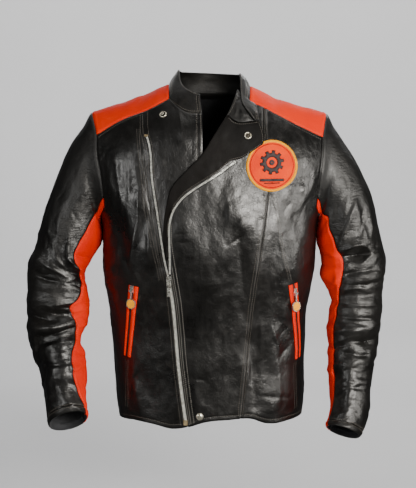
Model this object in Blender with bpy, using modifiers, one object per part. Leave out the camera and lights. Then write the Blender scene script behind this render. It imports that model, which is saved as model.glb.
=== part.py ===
"""A leather motorcycle jacket in its worn, hollow shape.

Metres. The origin is the middle of the neck base, where the wearer carries the jacket. +Z is up, +X is the
wearer's left and -Y is the front. Every leather piece is an open surface with a wall added on its inner side.
The torso is one closed form, and its panels are patches between the seams that are drawn on it.
"""

from math import cos, pi, radians, sin

import bpy
import numpy as np
from mathutils import Matrix, Vector

# ---------------------------------------------------------------- driving dimensions

WALL = 0.0016  # leather, sewn
COLLAR_WALL = 0.0022  # two layers of leather
SEAM_GAP = 0.0003
SQUARENESS = 2.4  # exponent of the torso's oval sections, where 2 is an ellipse
SHOULDER_ROUND = 0.120  # height over which the shoulder ridge rounds into the chest and the back
UNDERARM = -0.235  # height of the underarm point
LAP = 0.0026  # how far the left front lies over the right one
LAPEL_RISE = 0.0032  # outer face of the turned-back lapel over the left front
ZIP_HALF = 0.0030  # half the width of one open zip half
ZIP_CLOSED_HALF = 0.0036  # half the width of the closed zip
BADGE_RADIUS = 0.0480
BADGE_BORDER = 0.0041
SNAP_RADIUS = 0.0072

# Half-widths and depths of the torso at each height.
BODY_COLUMNS = ("height", "right", "left", "front", "back")
BODY = np.array(
    [
        (-0.640, 0.1760, 0.1800, 0.114, 0.102),
        (-0.580, 0.1830, 0.1860, 0.116, 0.104),
        (-0.520, 0.1865, 0.1850, 0.116, 0.104),
        (-0.460, 0.1920, 0.1880, 0.116, 0.103),
        (-0.400, 0.1990, 0.1910, 0.117, 0.104),
        (-0.340, 0.2075, 0.2020, 0.120, 0.108),
        (-0.280, 0.2095, 0.2075, 0.124, 0.114),
        (-0.235, 0.2115, 0.2115, 0.126, 0.118),
        (-0.180, 0.2310, 0.2300, 0.127, 0.120),
        (-0.120, 0.2450, 0.2450, 0.124, 0.118),
        (-0.060, 0.2490, 0.2490, 0.116, 0.108),
        (0.000, 0.2500, 0.2500, 0.105, 0.090),
        (0.060, 0.2500, 0.2500, 0.095, 0.075),
    ]
)

# The shoulder ridge and the lines drawn on the fronts, as (x, height) rows.
RIDGE = np.array(
    [
        (-0.2400, -0.0310),
        (-0.2277, -0.0265),
        (-0.1617, -0.0053),
        (-0.1213, 0.0098),
        (-0.0790, 0.0270),
        (-0.0400, 0.0360),
        (0.0000, 0.0380),
        (0.0400, 0.0350),
        (0.0774, 0.0240),
        (0.1313, -0.0020),
        (0.1813, -0.0160),
        (0.2258, -0.0285),
        (0.2400, -0.0330),
    ]
)
HEM = np.array(
    [
        (-0.1800, -0.6230),
        (-0.1440, -0.6180),
        (-0.1070, -0.6215),
        (-0.0700, -0.6280),
        (-0.0410, -0.6235),
        (-0.0100, -0.6140),
        (0.0400, -0.6095),
        (0.0800, -0.6085),
        (0.1080, -0.6190),
        (0.1290, -0.6210),
        (0.1540, -0.6190),
        (0.1850, -0.6170),
    ]
)
YOKE_SEAM_RIGHT = [(-0.2156, -0.0674), (-0.1712, -0.0403), (-0.1174, -0.0190), (-0.0765, 0.0023)]
YOKE_SEAM_LEFT = [(0.0747, -0.0040), (0.0932, -0.0100), (0.1318, -0.0298), (0.1708, -0.0498), (0.2164, -0.0720)]
ARMHOLE_FRONT_RIGHT = [
    (-0.2115, -0.2350),
    (-0.2060, -0.2140),
    (-0.2030, -0.1850),
    (-0.2066, -0.1468),
    (-0.2140, -0.1050),
    (-0.2156, -0.0674),
]
ARMHOLE_FRONT_LEFT = [
    (0.2115, -0.2350),
    (0.2070, -0.2140),
    (0.2065, -0.1850),
    (0.2100, -0.1468),
    (0.2145, -0.1050),
    (0.2164, -0.0720),
]
ARMHOLE_BACK = [(0.2115, -0.2350), (0.2040, -0.2120), (0.2010, -0.1800), (0.2040, -0.1400), (0.2100, -0.1000), (0.2145, -0.0680)]
YOKE_SEAM_BACK = [(0.0755, 0.0080), (0.1150, -0.0150), (0.1650, -0.0420), (0.2145, -0.0680)]
NECK_FRONT_RIGHT = [(-0.0765, 0.0023), (-0.0595, -0.0125), (-0.0443, -0.0215), (-0.0292, -0.0240), (-0.0142, -0.0232)]
NECK_FRONT_LEFT = [(0.0346, -0.0303), (0.0560, -0.0190), (0.0747, -0.0040)]
NECK_BACK = [(0.0755, 0.0080), (0.0400, 0.0090), (0.0000, 0.0100), (-0.0400, 0.0090), (-0.0755, 0.0080)]
FREE_EDGE = [(-0.0150, -0.6080), (-0.0145, -0.4000), (-0.0142, -0.2000), (-0.0132, -0.0743), (-0.0142, -0.0232)]
ZIP_LINE = [
    (-0.0445, -0.6194),
    (-0.0537, -0.5510),
    (-0.0587, -0.5084),
    (-0.0637, -0.4466),
    (-0.0696, -0.3830),
    (-0.0766, -0.3387),
    (-0.0845, -0.3062),
    (-0.0895, -0.2737),
    (-0.0985, -0.2130),
    (-0.1078, -0.1491),
    (-0.1138, -0.0823),
    (-0.1188, -0.0658),
]
ROLL_LINE = [
    (-0.0790, -0.3000),
    (-0.0835, -0.2622),
    (-0.0779, -0.1957),
    (-0.0684, -0.1640),
    (-0.0422, -0.1336),
    (-0.0141, -0.1046),
    (0.0110, -0.0660),
    (0.0346, -0.0303),
]
LEFT_ZIP_LINE = [
    (-0.0738, -0.3270),
    (-0.0736, -0.3002),
    (-0.0742, -0.2639),
    (-0.0738, -0.2327),
    (-0.0668, -0.2069),
    (-0.0488, -0.1819),
    (-0.0220, -0.1621),
    (0.0139, -0.1399),
    (0.0485, -0.1150),
]
LAPEL_POINT = [(0.0520, -0.1105), (0.0755, -0.0948), (0.0965, -0.0800)]
LAPEL_END = [(0.0965, -0.0800), (0.0978, -0.0722), (0.0929, -0.0427)]
LAPEL_TOP = [(0.0346, -0.0309), (0.0458, -0.0406), (0.0578, -0.0447), (0.0745, -0.0441), (0.0929, -0.0427)]
PRINCESS_SEAM = [
    (0.0602, -0.6095),
    (0.0676, -0.5320),
    (0.0805, -0.3969),
    (0.0988, -0.2626),
    (0.1095, -0.1717),
    (0.1058, -0.0749),
    (0.1054, -0.0162),
]
ZIP_SEAM_TOP = (-0.1225, -0.0208)
BADGE_CENTRE = (0.1162, -0.1231)
STUD_AT = (-0.0877, -0.0276)
LAPEL_RING_AT = (0.0709, -0.0677)
HEM_SNAP_AT = (-0.0188, -0.6020)
SLIDER_AT = (-0.0762, -0.3420)
POCKETS = {  # slit line of each pocket, from its foot to its top, and the sign of the side seam's side
    "right": ([(-0.1590, -0.4930), (-0.1545, -0.4440), (-0.1502, -0.3989), (-0.1460, -0.3530)], -1),
    "left": ([(0.1715, -0.5000), (0.1690, -0.4500), (0.1655, -0.4000), (0.1604, -0.3510)], 1),
}
POCKET_WELTS = {"inner": (0.0022, 0.0120), "outer": (0.0022, 0.0090)}  # near and far edge from the slit

# Top edge of the collar. Places along it count the corners of the neckline: 0 right front end, 1 and 2 the
# ends of the right yoke, 3 and 4 those of the left yoke, 5 left front end.
COLLAR_COLUMNS = ("place", "x", "y", "z")
COLLAR_TOP = np.array(
    [
        (0.00, -0.0186, -0.0790, 0.0102),
        (0.50, -0.0362, -0.0690, 0.0166),
        (1.00, -0.0520, -0.0430, 0.0290),
        (1.50, -0.0595, 0.0000, 0.0545),
        (2.00, -0.0530, 0.0330, 0.0510),
        (2.50, 0.0000, 0.0530, 0.0480),
        (3.00, 0.0530, 0.0330, 0.0460),
        (3.50, 0.0585, 0.0000, 0.0465),
        (4.00, 0.0592, -0.0600, 0.0125),
        (4.33, 0.0612, -0.0880, -0.0050),
        (4.66, 0.0735, -0.1045, -0.0225),
        (5.00, 0.0870, -0.1065, -0.0380),
    ]
)
COLLAR_FOOT_LEFT = [(0.0747, -0.0040), (0.0870, -0.0105), (0.0915, -0.0250), (0.0930, -0.0390)]
FACING_INNER = [(0.0343, -0.1068, -0.0295), (0.0410, -0.0985, -0.0160), (0.0482, -0.0850, 0.0010), (0.0545, -0.0570, 0.0190)]

# Rings of each sleeve from the shoulder to the cuff. The outer and inner points are its sides seen from the
# front; strip gives the angle at which the contrast strip starts, 0 on the outer side and 180 on the inner one.
SLEEVE_COLUMNS = ("outer_x", "outer_z", "inner_x", "inner_z", "mid_y", "half_depth", "tilt", "strip")
SLEEVE_RIGHT = np.array(
    [
        (0.2437, -0.0535, 0.2156, -0.2425, 0.000, 0.066, 3, 137),
        (0.2712, -0.0942, 0.2141, -0.2530, -0.001, 0.065, 4, 130),
        (0.2931, -0.1467, 0.2126, -0.2690, -0.003, 0.064, 5, 122),
        (0.3088, -0.1874, 0.2130, -0.2860, -0.006, 0.063, 5, 118),
        (0.3206, -0.2204, 0.2239, -0.3030, -0.009, 0.062, 5, 117),
        (0.3286, -0.2573, 0.2366, -0.3223, -0.012, 0.061, 6, 118),
        (0.3404, -0.2904, 0.2443, -0.3377, -0.015, 0.060, 8, 138),
        (0.3506, -0.3156, 0.2443, -0.3550, -0.018, 0.060, 12, 150),
        (0.3553, -0.3524, 0.2383, -0.3741, -0.022, 0.059, 17, 142),
        (0.3551, -0.3831, 0.2347, -0.3969, -0.028, 0.058, 21, 134),
        (0.3535, -0.4115, 0.2358, -0.4214, -0.035, 0.055, 24, 118),
        (0.3524, -0.4397, 0.2441, -0.4437, -0.043, 0.053, 26, 142),
        (0.3508, -0.4639, 0.2487, -0.4600, -0.051, 0.052, 27, 150),
        (0.3427, -0.4880, 0.2442, -0.4840, -0.059, 0.051, 28, 136),
        (0.3356, -0.5061, 0.2389, -0.5061, -0.067, 0.050, 29, 122),
        (0.3281, -0.5239, 0.2365, -0.5278, -0.076, 0.049, 30, 119),
        (0.3225, -0.5453, 0.2378, -0.5492, -0.086, 0.048, 30, 125),
        (0.3169, -0.5706, 0.2373, -0.5725, -0.096, 0.047, 31, 136),
        (0.3120, -0.5957, 0.2338, -0.5898, -0.106, 0.046, 32, 154),
        (0.3077, -0.6211, 0.2319, -0.6016, -0.114, 0.045, 34, 162),
    ]
)
SLEEVE_LEFT = np.array(
    [
        (0.2398, -0.0535, 0.2156, -0.2425, 0.000, 0.066, 3, 137),
        (0.2614, -0.0865, 0.2140, -0.2520, -0.001, 0.065, 4, 130),
        (0.2849, -0.1213, 0.2126, -0.2650, -0.003, 0.064, 5, 121),
        (0.3006, -0.1523, 0.2118, -0.2790, -0.006, 0.063, 5, 124),
        (0.3143, -0.1852, 0.2150, -0.2931, -0.009, 0.062, 5, 124),
        (0.3274, -0.2397, 0.2170, -0.3080, -0.012, 0.061, 6, 121),
        (0.3374, -0.2845, 0.2165, -0.3258, -0.015, 0.060, 8, 112),
        (0.3440, -0.3097, 0.2187, -0.3451, -0.018, 0.059, 12, 114),
        (0.3422, -0.3367, 0.2274, -0.3643, -0.022, 0.058, 17, 123),
        (0.3391, -0.3712, 0.2349, -0.3831, -0.028, 0.057, 21, 132),
        (0.3345, -0.4056, 0.2327, -0.4135, -0.035, 0.055, 24, 131),
        (0.3320, -0.4358, 0.2298, -0.4417, -0.043, 0.053, 26, 130),
        (0.3300, -0.4619, 0.2301, -0.4698, -0.051, 0.052, 27, 134),
        (0.3246, -0.4900, 0.2307, -0.4978, -0.059, 0.051, 28, 140),
        (0.3193, -0.5179, 0.2309, -0.5258, -0.067, 0.050, 28, 143),
        (0.3138, -0.5455, 0.2324, -0.5554, -0.076, 0.049, 28, 147),
        (0.3084, -0.5768, 0.2332, -0.5827, -0.086, 0.048, 28, 152),
        (0.3029, -0.6078, 0.2288, -0.6039, -0.096, 0.047, 27, 160),
        (0.2937, -0.6329, 0.2230, -0.6152, -0.106, 0.046, 26, 162),
        (0.2871, -0.6427, 0.2220, -0.6211, -0.114, 0.045, 25, 162),
    ]
)
STRIP_BACK_ANGLE = 138  # the strip's rear edge, which runs evenly down the back of the sleeve

# Large soft folds, as a line seen from the front or back, its reach across and its height (a trough is
# negative). The front ones are where the leather breaks at the waist, the elbows and beside the seams.
FOLD_COLUMNS = ("x0", "z0", "x1", "z1", "reach", "height")
BODY_FOLDS_FRONT = [
    (-0.137, -0.180, -0.155, -0.300, 0.016, 0.0040),
    (-0.118, -0.250, -0.114, -0.310, 0.014, 0.0030),
    (-0.170, -0.250, -0.160, -0.300, 0.016, -0.0040),
    (-0.130, -0.525, -0.112, -0.585, 0.018, -0.0030),
    (0.060, -0.260, 0.062, -0.390, 0.020, -0.0040),
    (0.035, -0.190, 0.080, -0.250, 0.026, 0.0035),
    (0.083, -0.460, 0.088, -0.580, 0.014, -0.0040),
    (0.105, -0.430, 0.125, -0.500, 0.016, 0.0040),
    (-0.180, -0.110, -0.165, -0.210, 0.018, 0.0030),
]
BODY_FOLDS_BACK = [
    (-0.120, -0.130, -0.150, -0.330, 0.022, 0.0040),
    (0.115, -0.130, 0.150, -0.320, 0.022, 0.0040),
    (-0.130, -0.400, 0.120, -0.385, 0.022, -0.0040),
    (-0.090, -0.440, 0.140, -0.450, 0.020, 0.0035),
]
SLEEVE_FOLDS_RIGHT = [
    (-0.355, -0.385, -0.262, -0.372, 0.014, 0.0060),
    (-0.352, -0.418, -0.262, -0.408, 0.012, -0.0080),
    (-0.270, -0.290, -0.262, -0.350, 0.014, 0.0060),
    (-0.350, -0.462, -0.262, -0.446, 0.012, -0.0060),
    (-0.345, -0.440, -0.270, -0.430, 0.012, 0.0040),
    (-0.330, -0.525, -0.250, -0.520, 0.012, -0.0035),
]
SLEEVE_FOLDS_LEFT = [
    (0.258, -0.308, 0.300, -0.288, 0.012, -0.0070),
    (0.300, -0.275, 0.262, -0.285, 0.012, 0.0050),
    (0.338, -0.335, 0.270, -0.345, 0.012, 0.0045),
    (0.335, -0.372, 0.250, -0.376, 0.012, -0.0050),
    (0.330, -0.430, 0.245, -0.440, 0.012, 0.0040),
    (0.322, -0.468, 0.290, -0.460, 0.012, -0.0060),
    (0.318, -0.520, 0.250, -0.530, 0.012, -0.0035),
]

# Numbers of grid steps between the corners of the seams.
SIDE_STEPS = 12
ARM_STEPS = 7
YOKE_STEPS = 4
RIGHT_SIDE_STEPS = 8
RIGHT_INNER_YOKE_STEPS = 3
NECK_RIGHT_STEPS = 4
LEFT_YOKE_STEPS = 3
NECK_LEFT_STEPS = 4
LEFT_SIDE_STEPS = 7
NECK_BACK_STEPS = 6
STRIP_STEPS = 2
SLEEVE_STEPS = 26
LAPEL_STEPS = 15
COLLAR_STEPS = 3

LEATHER_BLACK = ("leather_black", (0.020, 0.020, 0.022), 0.42, 0.0)
LEATHER_MATT = ("leather_matt", (0.013, 0.013, 0.014), 0.62, 0.0)
LEATHER_ORANGE = ("leather_orange", (0.86, 0.075, 0.012), 0.45, 0.0)
BORDER_YELLOW = ("border_yellow", (0.90, 0.45, 0.02), 0.50, 0.0)
ENAMEL_YELLOW = ("enamel_yellow", (0.95, 0.62, 0.01), 0.25, 0.0)
ZIP_TAPE = ("zip_tape", (0.012, 0.012, 0.012), 0.80, 0.0)
ZIP_METAL = ("zip_metal", (0.52, 0.51, 0.45), 0.38, 1.0)
SNAP_METAL = ("snap_metal", (0.68, 0.66, 0.56), 0.35, 1.0)


# ---------------------------------------------------------------- curves and the torso's form


def smooth(at, knots, values):
    """A smooth curve through the knots, read at the given places."""
    knots, values, at = np.asarray(knots, float), np.asarray(values, float), np.asarray(at, float)
    slopes = np.gradient(values, knots, axis=0)
    i = np.clip(np.searchsorted(knots, at, side="right") - 1, 0, len(knots) - 2)
    width = knots[i + 1] - knots[i]
    t = np.clip((at - knots[i]) / width, 0, 1)
    if values.ndim > 1:
        t, width = t[..., None], width[..., None]
    start = (1 + 2 * t) * (1 - t) ** 2 * values[i] + t * (1 - t) ** 2 * width * slopes[i]
    return start + t * t * (3 - 2 * t) * values[i + 1] + t * t * (t - 1) * width * slopes[i + 1]


def along(points, steps):
    """Evenly spaced stations on a smooth curve through the points."""
    points = np.asarray(points, float)
    length = np.concatenate([[0], np.cumsum(np.linalg.norm(np.diff(points, axis=0), axis=1))])
    if len(points) == 2:
        return points[0] + np.linspace(0, 1, steps + 1)[:, None] * (points[1] - points[0])
    return smooth(np.linspace(0, length[-1], steps + 1), length, points)


def joined(*runs):
    return np.concatenate([runs[0]] + [run[1:] for run in runs[1:]])


def unit(v):
    return v / np.maximum(np.linalg.norm(v, axis=-1, keepdims=True), 1e-12)


def ridge(x):
    return smooth(x, RIDGE[:, 0], RIDGE[:, 1])


def soft_step(t):
    t = np.clip(t, 0, 1)
    return t * t * (3 - 2 * t)


def fold_height(x, z, folds):
    """Height of the soft ridges and troughs at places seen from the front or back."""
    total = np.zeros(np.shape(x))
    for x0, z0, x1, z1, reach, height in folds:
        run = (x1 - x0) ** 2 + (z1 - z0) ** 2
        t = np.clip(((x - x0) * (x1 - x0) + (z - z0) * (z1 - z0)) / run, 0, 1)
        away = (x - x0 - t * (x1 - x0)) ** 2 + (z - z0 - t * (z1 - z0)) ** 2
        total += height * np.exp(-away / reach**2) * (0.55 + 0.45 * np.sin(pi * t))
    return total


def section(x, z, back):
    """Depth of the torso at a place, from the oval section and the rounding of the shoulder."""
    row = smooth(z, BODY[:, 0], BODY[:, 1:])
    half = np.where(x < 0, row[..., 0], row[..., 1])
    depth = np.where(back, row[..., 3], row[..., 2])
    across = np.clip(np.abs(x) / half, 0, 1)
    drop = np.clip((ridge(x) - z) / SHOULDER_ROUND, 0, 1)
    return depth * (1 - across**SQUARENESS) ** (1 / SQUARENESS) * np.sqrt(1 - (1 - drop) ** 2)


def angle_of(points, back=False):
    """(angle, height) rows for (x, height) rows. The angle is 0 at the front, 90 on the left side, 180 behind."""
    x, z = np.asarray(points, float).T
    row = smooth(z, BODY[:, 0], BODY[:, 1:])
    half = np.where(x < 0, row[:, 0], row[:, 1])
    depth = row[:, 3] if back else row[:, 2]
    across = np.clip(np.abs(x) / half, 0, 1)
    flat = depth * (1 - across**SQUARENESS) ** (1 / SQUARENESS)
    turn = np.degrees(np.arctan2(x, flat))
    return np.stack([np.where(back, 180 - turn, turn), z], axis=1)


def plain_torso(angle, z):
    turn = np.radians(angle)
    row = smooth(z, BODY[:, 0], BODY[:, 1:])
    half = np.where(np.sin(turn) < 0, row[..., 0], row[..., 1])
    depth = np.where(np.cos(turn) < 0, row[..., 3], row[..., 2])
    across = np.abs(np.sin(turn) / half) ** SQUARENESS
    reach = (across + np.abs(np.cos(turn) / depth) ** SQUARENESS) ** (-1 / SQUARENESS)
    x = reach * np.sin(turn)
    drop = np.clip((ridge(x) - z) / SHOULDER_ROUND, 0, 1)
    y = -reach * np.cos(turn) * np.sqrt(1 - (1 - drop) ** 2)
    return np.stack([x, y, z + 0 * x], axis=-1)


def torso(angle, z, out=0.0, lapped=False):
    """Points on the torso's outer face, and their outward directions. A lapped piece lies over the right front."""
    angle, z = np.asarray(angle, float), np.asarray(z, float)
    point = plain_torso(angle, z)
    around = plain_torso(angle + 0.5, z) - plain_torso(angle - 0.5, z)
    upward = plain_torso(angle, z + 0.001) - plain_torso(angle, z - 0.001)
    normal = unit(np.cross(around, upward))
    x, y = point[..., 0], point[..., 1]
    facing = soft_step(np.abs(y) / 0.03)
    folds = np.where(y < 0, fold_height(x, z, BODY_FOLDS_FRONT), fold_height(x, z, BODY_FOLDS_BACK)) * facing
    if lapped:
        folds = folds + LAP * soft_step((0.05 - x) / 0.055)
    return point + (folds + out)[..., None] * normal, normal


def on_front(points, out=0.0, lapped=False):
    """torso() for (x, height) rows on the front."""
    spots = angle_of(points)
    return torso(spots[:, 0], spots[:, 1], out, lapped)


def coons(left, right, bottom, top):
    """Grid between four edges, each a list of stations. Rows run from bottom to top."""
    u = np.linspace(0, 1, len(bottom))[None, :, None]
    v = np.linspace(0, 1, len(left))[:, None, None]
    sides = (1 - u) * left[:, None] + u * right[:, None] + (1 - v) * bottom[None] + v * top[None]
    low = (1 - v) * ((1 - u) * bottom[0] + u * bottom[-1])
    high = v * ((1 - u) * top[0] + u * top[-1])
    return sides - low - high


def beside(line, offset):
    """The line moved sideways on the front, towards +X where it runs upward."""
    line = np.asarray(line, float)
    tangent = unit(np.gradient(line, axis=0))
    return line + offset * np.stack([tangent[:, 1], -tangent[:, 0]], axis=1)


def hem_run(x0, x1, steps):
    x = np.linspace(x0, x1, steps + 1)
    return np.stack([x, smooth(x, HEM[:, 0], HEM[:, 1])], axis=1)


# ---------------------------------------------------------------- seams and grids of the leather


def side_seam(angle, hem):
    z = np.linspace(hem, UNDERARM, SIDE_STEPS + 1)
    return np.stack([np.full(len(z), float(angle)), z], axis=1)


def armhole(points, angle, back=False, side=1):
    """Stations up an armhole from the underarm, which lies at the given angle."""
    spots = angle_of(along(points, ARM_STEPS) * (side, 1), back)
    spots[0] = (angle, UNDERARM)
    return spots


def seams():
    """Every seam of the torso as (angle, height) stations."""
    rows = SIDE_STEPS + ARM_STEPS
    made = {}
    hem_right, hem_left = HEM[0, 1], HEM[-1, 1]
    made["side_right"] = joined(side_seam(-90, hem_right), armhole(ARMHOLE_FRONT_RIGHT, -90))
    made["side_left"] = joined(side_seam(90, hem_left), armhole(ARMHOLE_FRONT_LEFT, 90))
    made["back_left"] = joined(side_seam(90, hem_left), armhole(ARMHOLE_BACK, 90, back=True))
    back_right = armhole(ARMHOLE_BACK, 270, back=True, side=-1)
    made["back_right"] = joined(side_seam(270, hem_right), back_right)
    zip_edge = [(x, z) for x, z in ZIP_LINE] + [ZIP_SEAM_TOP]
    made["zip"] = along([(zip_edge[0][0], hem_run(zip_edge[0][0], 0, 1)[0, 1])] + zip_edge[1:], rows)
    made["free_edge"] = along(FREE_EDGE, rows)
    closed = [(x + ZIP_CLOSED_HALF + 0.0006, z) for x, z in ZIP_LINE[1:6]]
    low = (ZIP_LINE[0][0] + ZIP_CLOSED_HALF + 0.0006, HEM[4, 1])
    made["left_front"] = along(np.concatenate([[low], closed, beside(ROLL_LINE, 0.0007)]), rows)
    made["princess"] = along(PRINCESS_SEAM, rows)
    return made


def yoke_stations(seam, ends):
    """Stations on a yoke seam between the given x values, with their numbers of steps."""
    seam = np.asarray(seam)
    runs = []
    for x0, x1, steps in ends:
        x = np.linspace(x0, x1, steps + 1)
        runs.append(np.stack([x, smooth(x, seam[:, 0], seam[:, 1])], axis=1))
    return joined(*runs)


def torso_grids():
    """(points, directions) of each torso panel, and the yokes' seams."""
    seam = seams()
    zip_top, princess_top = ZIP_SEAM_TOP[0], PRINCESS_SEAM[-1][0]
    yoke_right = yoke_stations(
        YOKE_SEAM_RIGHT,
        [(YOKE_SEAM_RIGHT[0][0], zip_top, RIGHT_SIDE_STEPS), (zip_top, YOKE_SEAM_RIGHT[-1][0], RIGHT_INNER_YOKE_STEPS)],
    )
    yoke_left = yoke_stations(
        YOKE_SEAM_LEFT,
        [(YOKE_SEAM_LEFT[0][0], princess_top, LEFT_YOKE_STEPS), (princess_top, YOKE_SEAM_LEFT[-1][0], LEFT_SIDE_STEPS)],
    )
    seam["zip"][-1] = yoke_right[RIGHT_SIDE_STEPS]
    seam["princess"][-1] = yoke_left[LEFT_YOKE_STEPS]
    seam["princess"][0, 1] = smooth(seam["princess"][0, 0], HEM[:, 0], HEM[:, 1])
    zip_foot, roll_foot = seam["zip"][0], seam["left_front"][0]

    def front(left, right, bottom, top, lapped=False):
        """A front panel. Edges given in x are turned to angles; the side seams are angles already."""
        spots = coons(left, right, bottom, top)
        return torso(spots[..., 0], spots[..., 1], 0.0, lapped)

    grids = {}
    hem = angle_of(hem_run(HEM[0, 0], zip_foot[0], RIGHT_SIDE_STEPS))
    hem[0], hem[-1] = seam["side_right"][0], angle_of(seam["zip"][:1])[0]
    top = angle_of(yoke_right[: RIGHT_SIDE_STEPS + 1])
    top[0] = seam["side_right"][-1]
    grids["front_right_side"] = front(seam["side_right"], angle_of(seam["zip"]), hem, top)

    inner_steps = RIGHT_INNER_YOKE_STEPS + NECK_RIGHT_STEPS
    top = joined(yoke_right[RIGHT_SIDE_STEPS:], along(NECK_FRONT_RIGHT, NECK_RIGHT_STEPS))
    bottom = np.linspace(seam["zip"][0], seam["free_edge"][0], inner_steps + 1)
    grids["front_right_inner"] = front(
        angle_of(seam["zip"]), angle_of(seam["free_edge"]), angle_of(bottom), angle_of(top)
    )

    top = joined(along(NECK_FRONT_LEFT, NECK_LEFT_STEPS), yoke_left[: LEFT_YOKE_STEPS + 1])
    bottom = hem_run(roll_foot[0], seam["princess"][0, 0], NECK_LEFT_STEPS + LEFT_YOKE_STEPS)
    bottom[0] = roll_foot
    grids["front_left_centre"] = front(
        angle_of(seam["left_front"]), angle_of(seam["princess"]), angle_of(bottom), angle_of(top), lapped=True
    )

    hem = angle_of(hem_run(seam["princess"][0, 0], HEM[-1, 0], LEFT_SIDE_STEPS))
    hem[-1] = seam["side_left"][0]
    top = angle_of(yoke_left[LEFT_YOKE_STEPS:])
    top[-1] = seam["side_left"][-1]
    grids["front_left_side"] = front(angle_of(seam["princess"]), seam["side_left"], hem, top)

    back_seam = np.asarray(YOKE_SEAM_BACK)

    def back_stations(front_stations):
        """The back yoke seam, with its stations behind those of the front one."""
        reach = np.abs(front_stations[:, 0])
        share = (reach - reach.min()) / (reach.max() - reach.min())
        x = back_seam[0, 0] + share * (back_seam[-1, 0] - back_seam[0, 0])
        return np.stack([np.sign(front_stations[:, 0]) * x, smooth(x, back_seam[:, 0], back_seam[:, 1])], axis=1)

    back_right, back_left = back_stations(yoke_right), back_stations(yoke_left)
    top = angle_of(joined(back_left[::-1], along(NECK_BACK, NECK_BACK_STEPS), back_right[::-1]), back=True)
    top[0], top[-1] = seam["back_left"][-1], seam["back_right"][-1]
    bottom = np.stack([np.linspace(90, 270, len(top)), np.linspace(HEM[-1, 1], HEM[0, 1], len(top))], axis=1)
    spots = coons(seam["back_left"], seam["back_right"], bottom, top)
    grids["back_panel"] = torso(spots[..., 0], spots[..., 1])

    grids["yoke_right"] = yoke_grid(yoke_right, back_right, RIDGE[1, 0])
    grids["yoke_left"] = yoke_grid(yoke_left, back_left, RIDGE[-2, 0])
    return grids


def shoulder(x, phi):
    """Points over the shoulder ridge: phi is 0 on it, above 0 in front and below 0 behind."""
    z = ridge(x) - SHOULDER_ROUND * (1 - np.cos(phi))
    return np.stack([x, -np.sign(phi) * section(x, z, phi < 0), z], axis=-1)


def yoke_grid(front, back, ridge_end):
    """A yoke from the front seam over the ridge to the back seam, with x rising along its rows."""
    front_phi = np.arccos(1 - (ridge(front[:, 0]) - front[:, 1]) / SHOULDER_ROUND)
    back_phi = -np.arccos(1 - (ridge(back[:, 0]) - back[:, 1]) / SHOULDER_ROUND)
    reach = np.abs(front[:, 0])
    share = (reach - reach.min()) / (reach.max() - reach.min())
    neck_x = 0.078 * np.sign(ridge_end)
    top_x = neck_x + share * (ridge_end - neck_x)
    t = np.linspace(0, 1, YOKE_STEPS + 1)[:, None]
    phi = front_phi + t * (back_phi - front_phi)
    crest = front_phi / (front_phi - back_phi)
    before = np.clip(t / crest, 0, 1)
    after = np.clip((t - crest) / (1 - crest), 0, 1)
    x = np.where(t < crest, front[:, 0] + (top_x - front[:, 0]) * np.sin(before * pi / 2), 0)
    x = np.where(t < crest, x, back[:, 0] + (top_x - back[:, 0]) * np.cos(after * pi / 2))
    point = shoulder(x, phi)
    across = shoulder(x + 0.0005, phi) - shoulder(x - 0.0005, phi)
    over = shoulder(x, phi - 0.004) - shoulder(x, phi + 0.004)
    return point, unit(np.cross(across, over))


def grid_normals(grid, closed=False):
    """Directions square to a grid of points, whose columns may go all the way round."""
    if closed:
        around = np.roll(grid, -1, axis=1) - np.roll(grid, 1, axis=1)
    else:
        around = np.gradient(grid, axis=1)
    return unit(np.cross(around, np.gradient(grid, axis=0)))


def sleeve_grid(side, armhole_points, armhole_normals, table, folds):
    """A sleeve from its armhole to the cuff. Columns start under the arm and go round by the front."""
    count = len(armhole_points)
    share = np.arange(count) / count
    edge = STRIP_STEPS / count
    rings = [armhole_points]
    for outer_x, outer_z, inner_x, inner_z, mid_y, depth, tilt, strip in table:
        middle = np.array([side * (outer_x + inner_x) / 2, mid_y, (outer_z + inner_z) / 2])
        outward = np.array([side * (outer_x - inner_x) / 2, 0, (outer_z - inner_z) / 2])
        forward = depth * np.array([0, -cos(radians(tilt)), sin(radians(tilt))])
        turn = np.interp(share, [0, edge, 1 - edge, 1], [180, strip, -STRIP_BACK_ANGLE, -180])
        turn = np.radians(turn)[:, None]
        rings.append(middle + np.cos(turn) * outward + np.sin(turn) * forward)
    rings.insert(1, 0.75 * rings[0] + 0.25 * rings[1] + np.array([side * 0.0024, 0, 0]))
    rings = np.array(rings)
    steps = np.linalg.norm(np.diff(rings.mean(axis=1), axis=0), axis=1)
    place = np.concatenate([[0], np.cumsum(np.maximum(steps, 0.006))])
    rows = np.concatenate([[0], np.linspace(place[1], place[-1], SLEEVE_STEPS)])
    grid = smooth(rows, place, rings.reshape(len(rings), -1)).reshape(len(rows), count, 3)
    normal = side * -grid_normals(grid, closed=True)
    shown = soft_step(-normal[..., 1] / 0.5) * np.clip(rows / 0.05, 0, 1)[:, None]
    hidden = soft_step(normal[..., 1] / 0.5) * np.clip(rows / 0.05, 0, 1)[:, None]
    lift = fold_height(grid[..., 0], grid[..., 2], folds) * (shown + 0.7 * hidden)
    grid = grid + lift[..., None] * normal
    normal = side * -grid_normals(grid, closed=True)
    normal[0] = armhole_normals
    return grid, normal


# ---------------------------------------------------------------- objects


def clear_scene():
    for thing in list(bpy.data.objects):
        bpy.data.objects.remove(thing, do_unlink=True)


def collection(name):
    made = bpy.data.collections.new(name)
    bpy.context.scene.collection.children.link(made)
    return made


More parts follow.
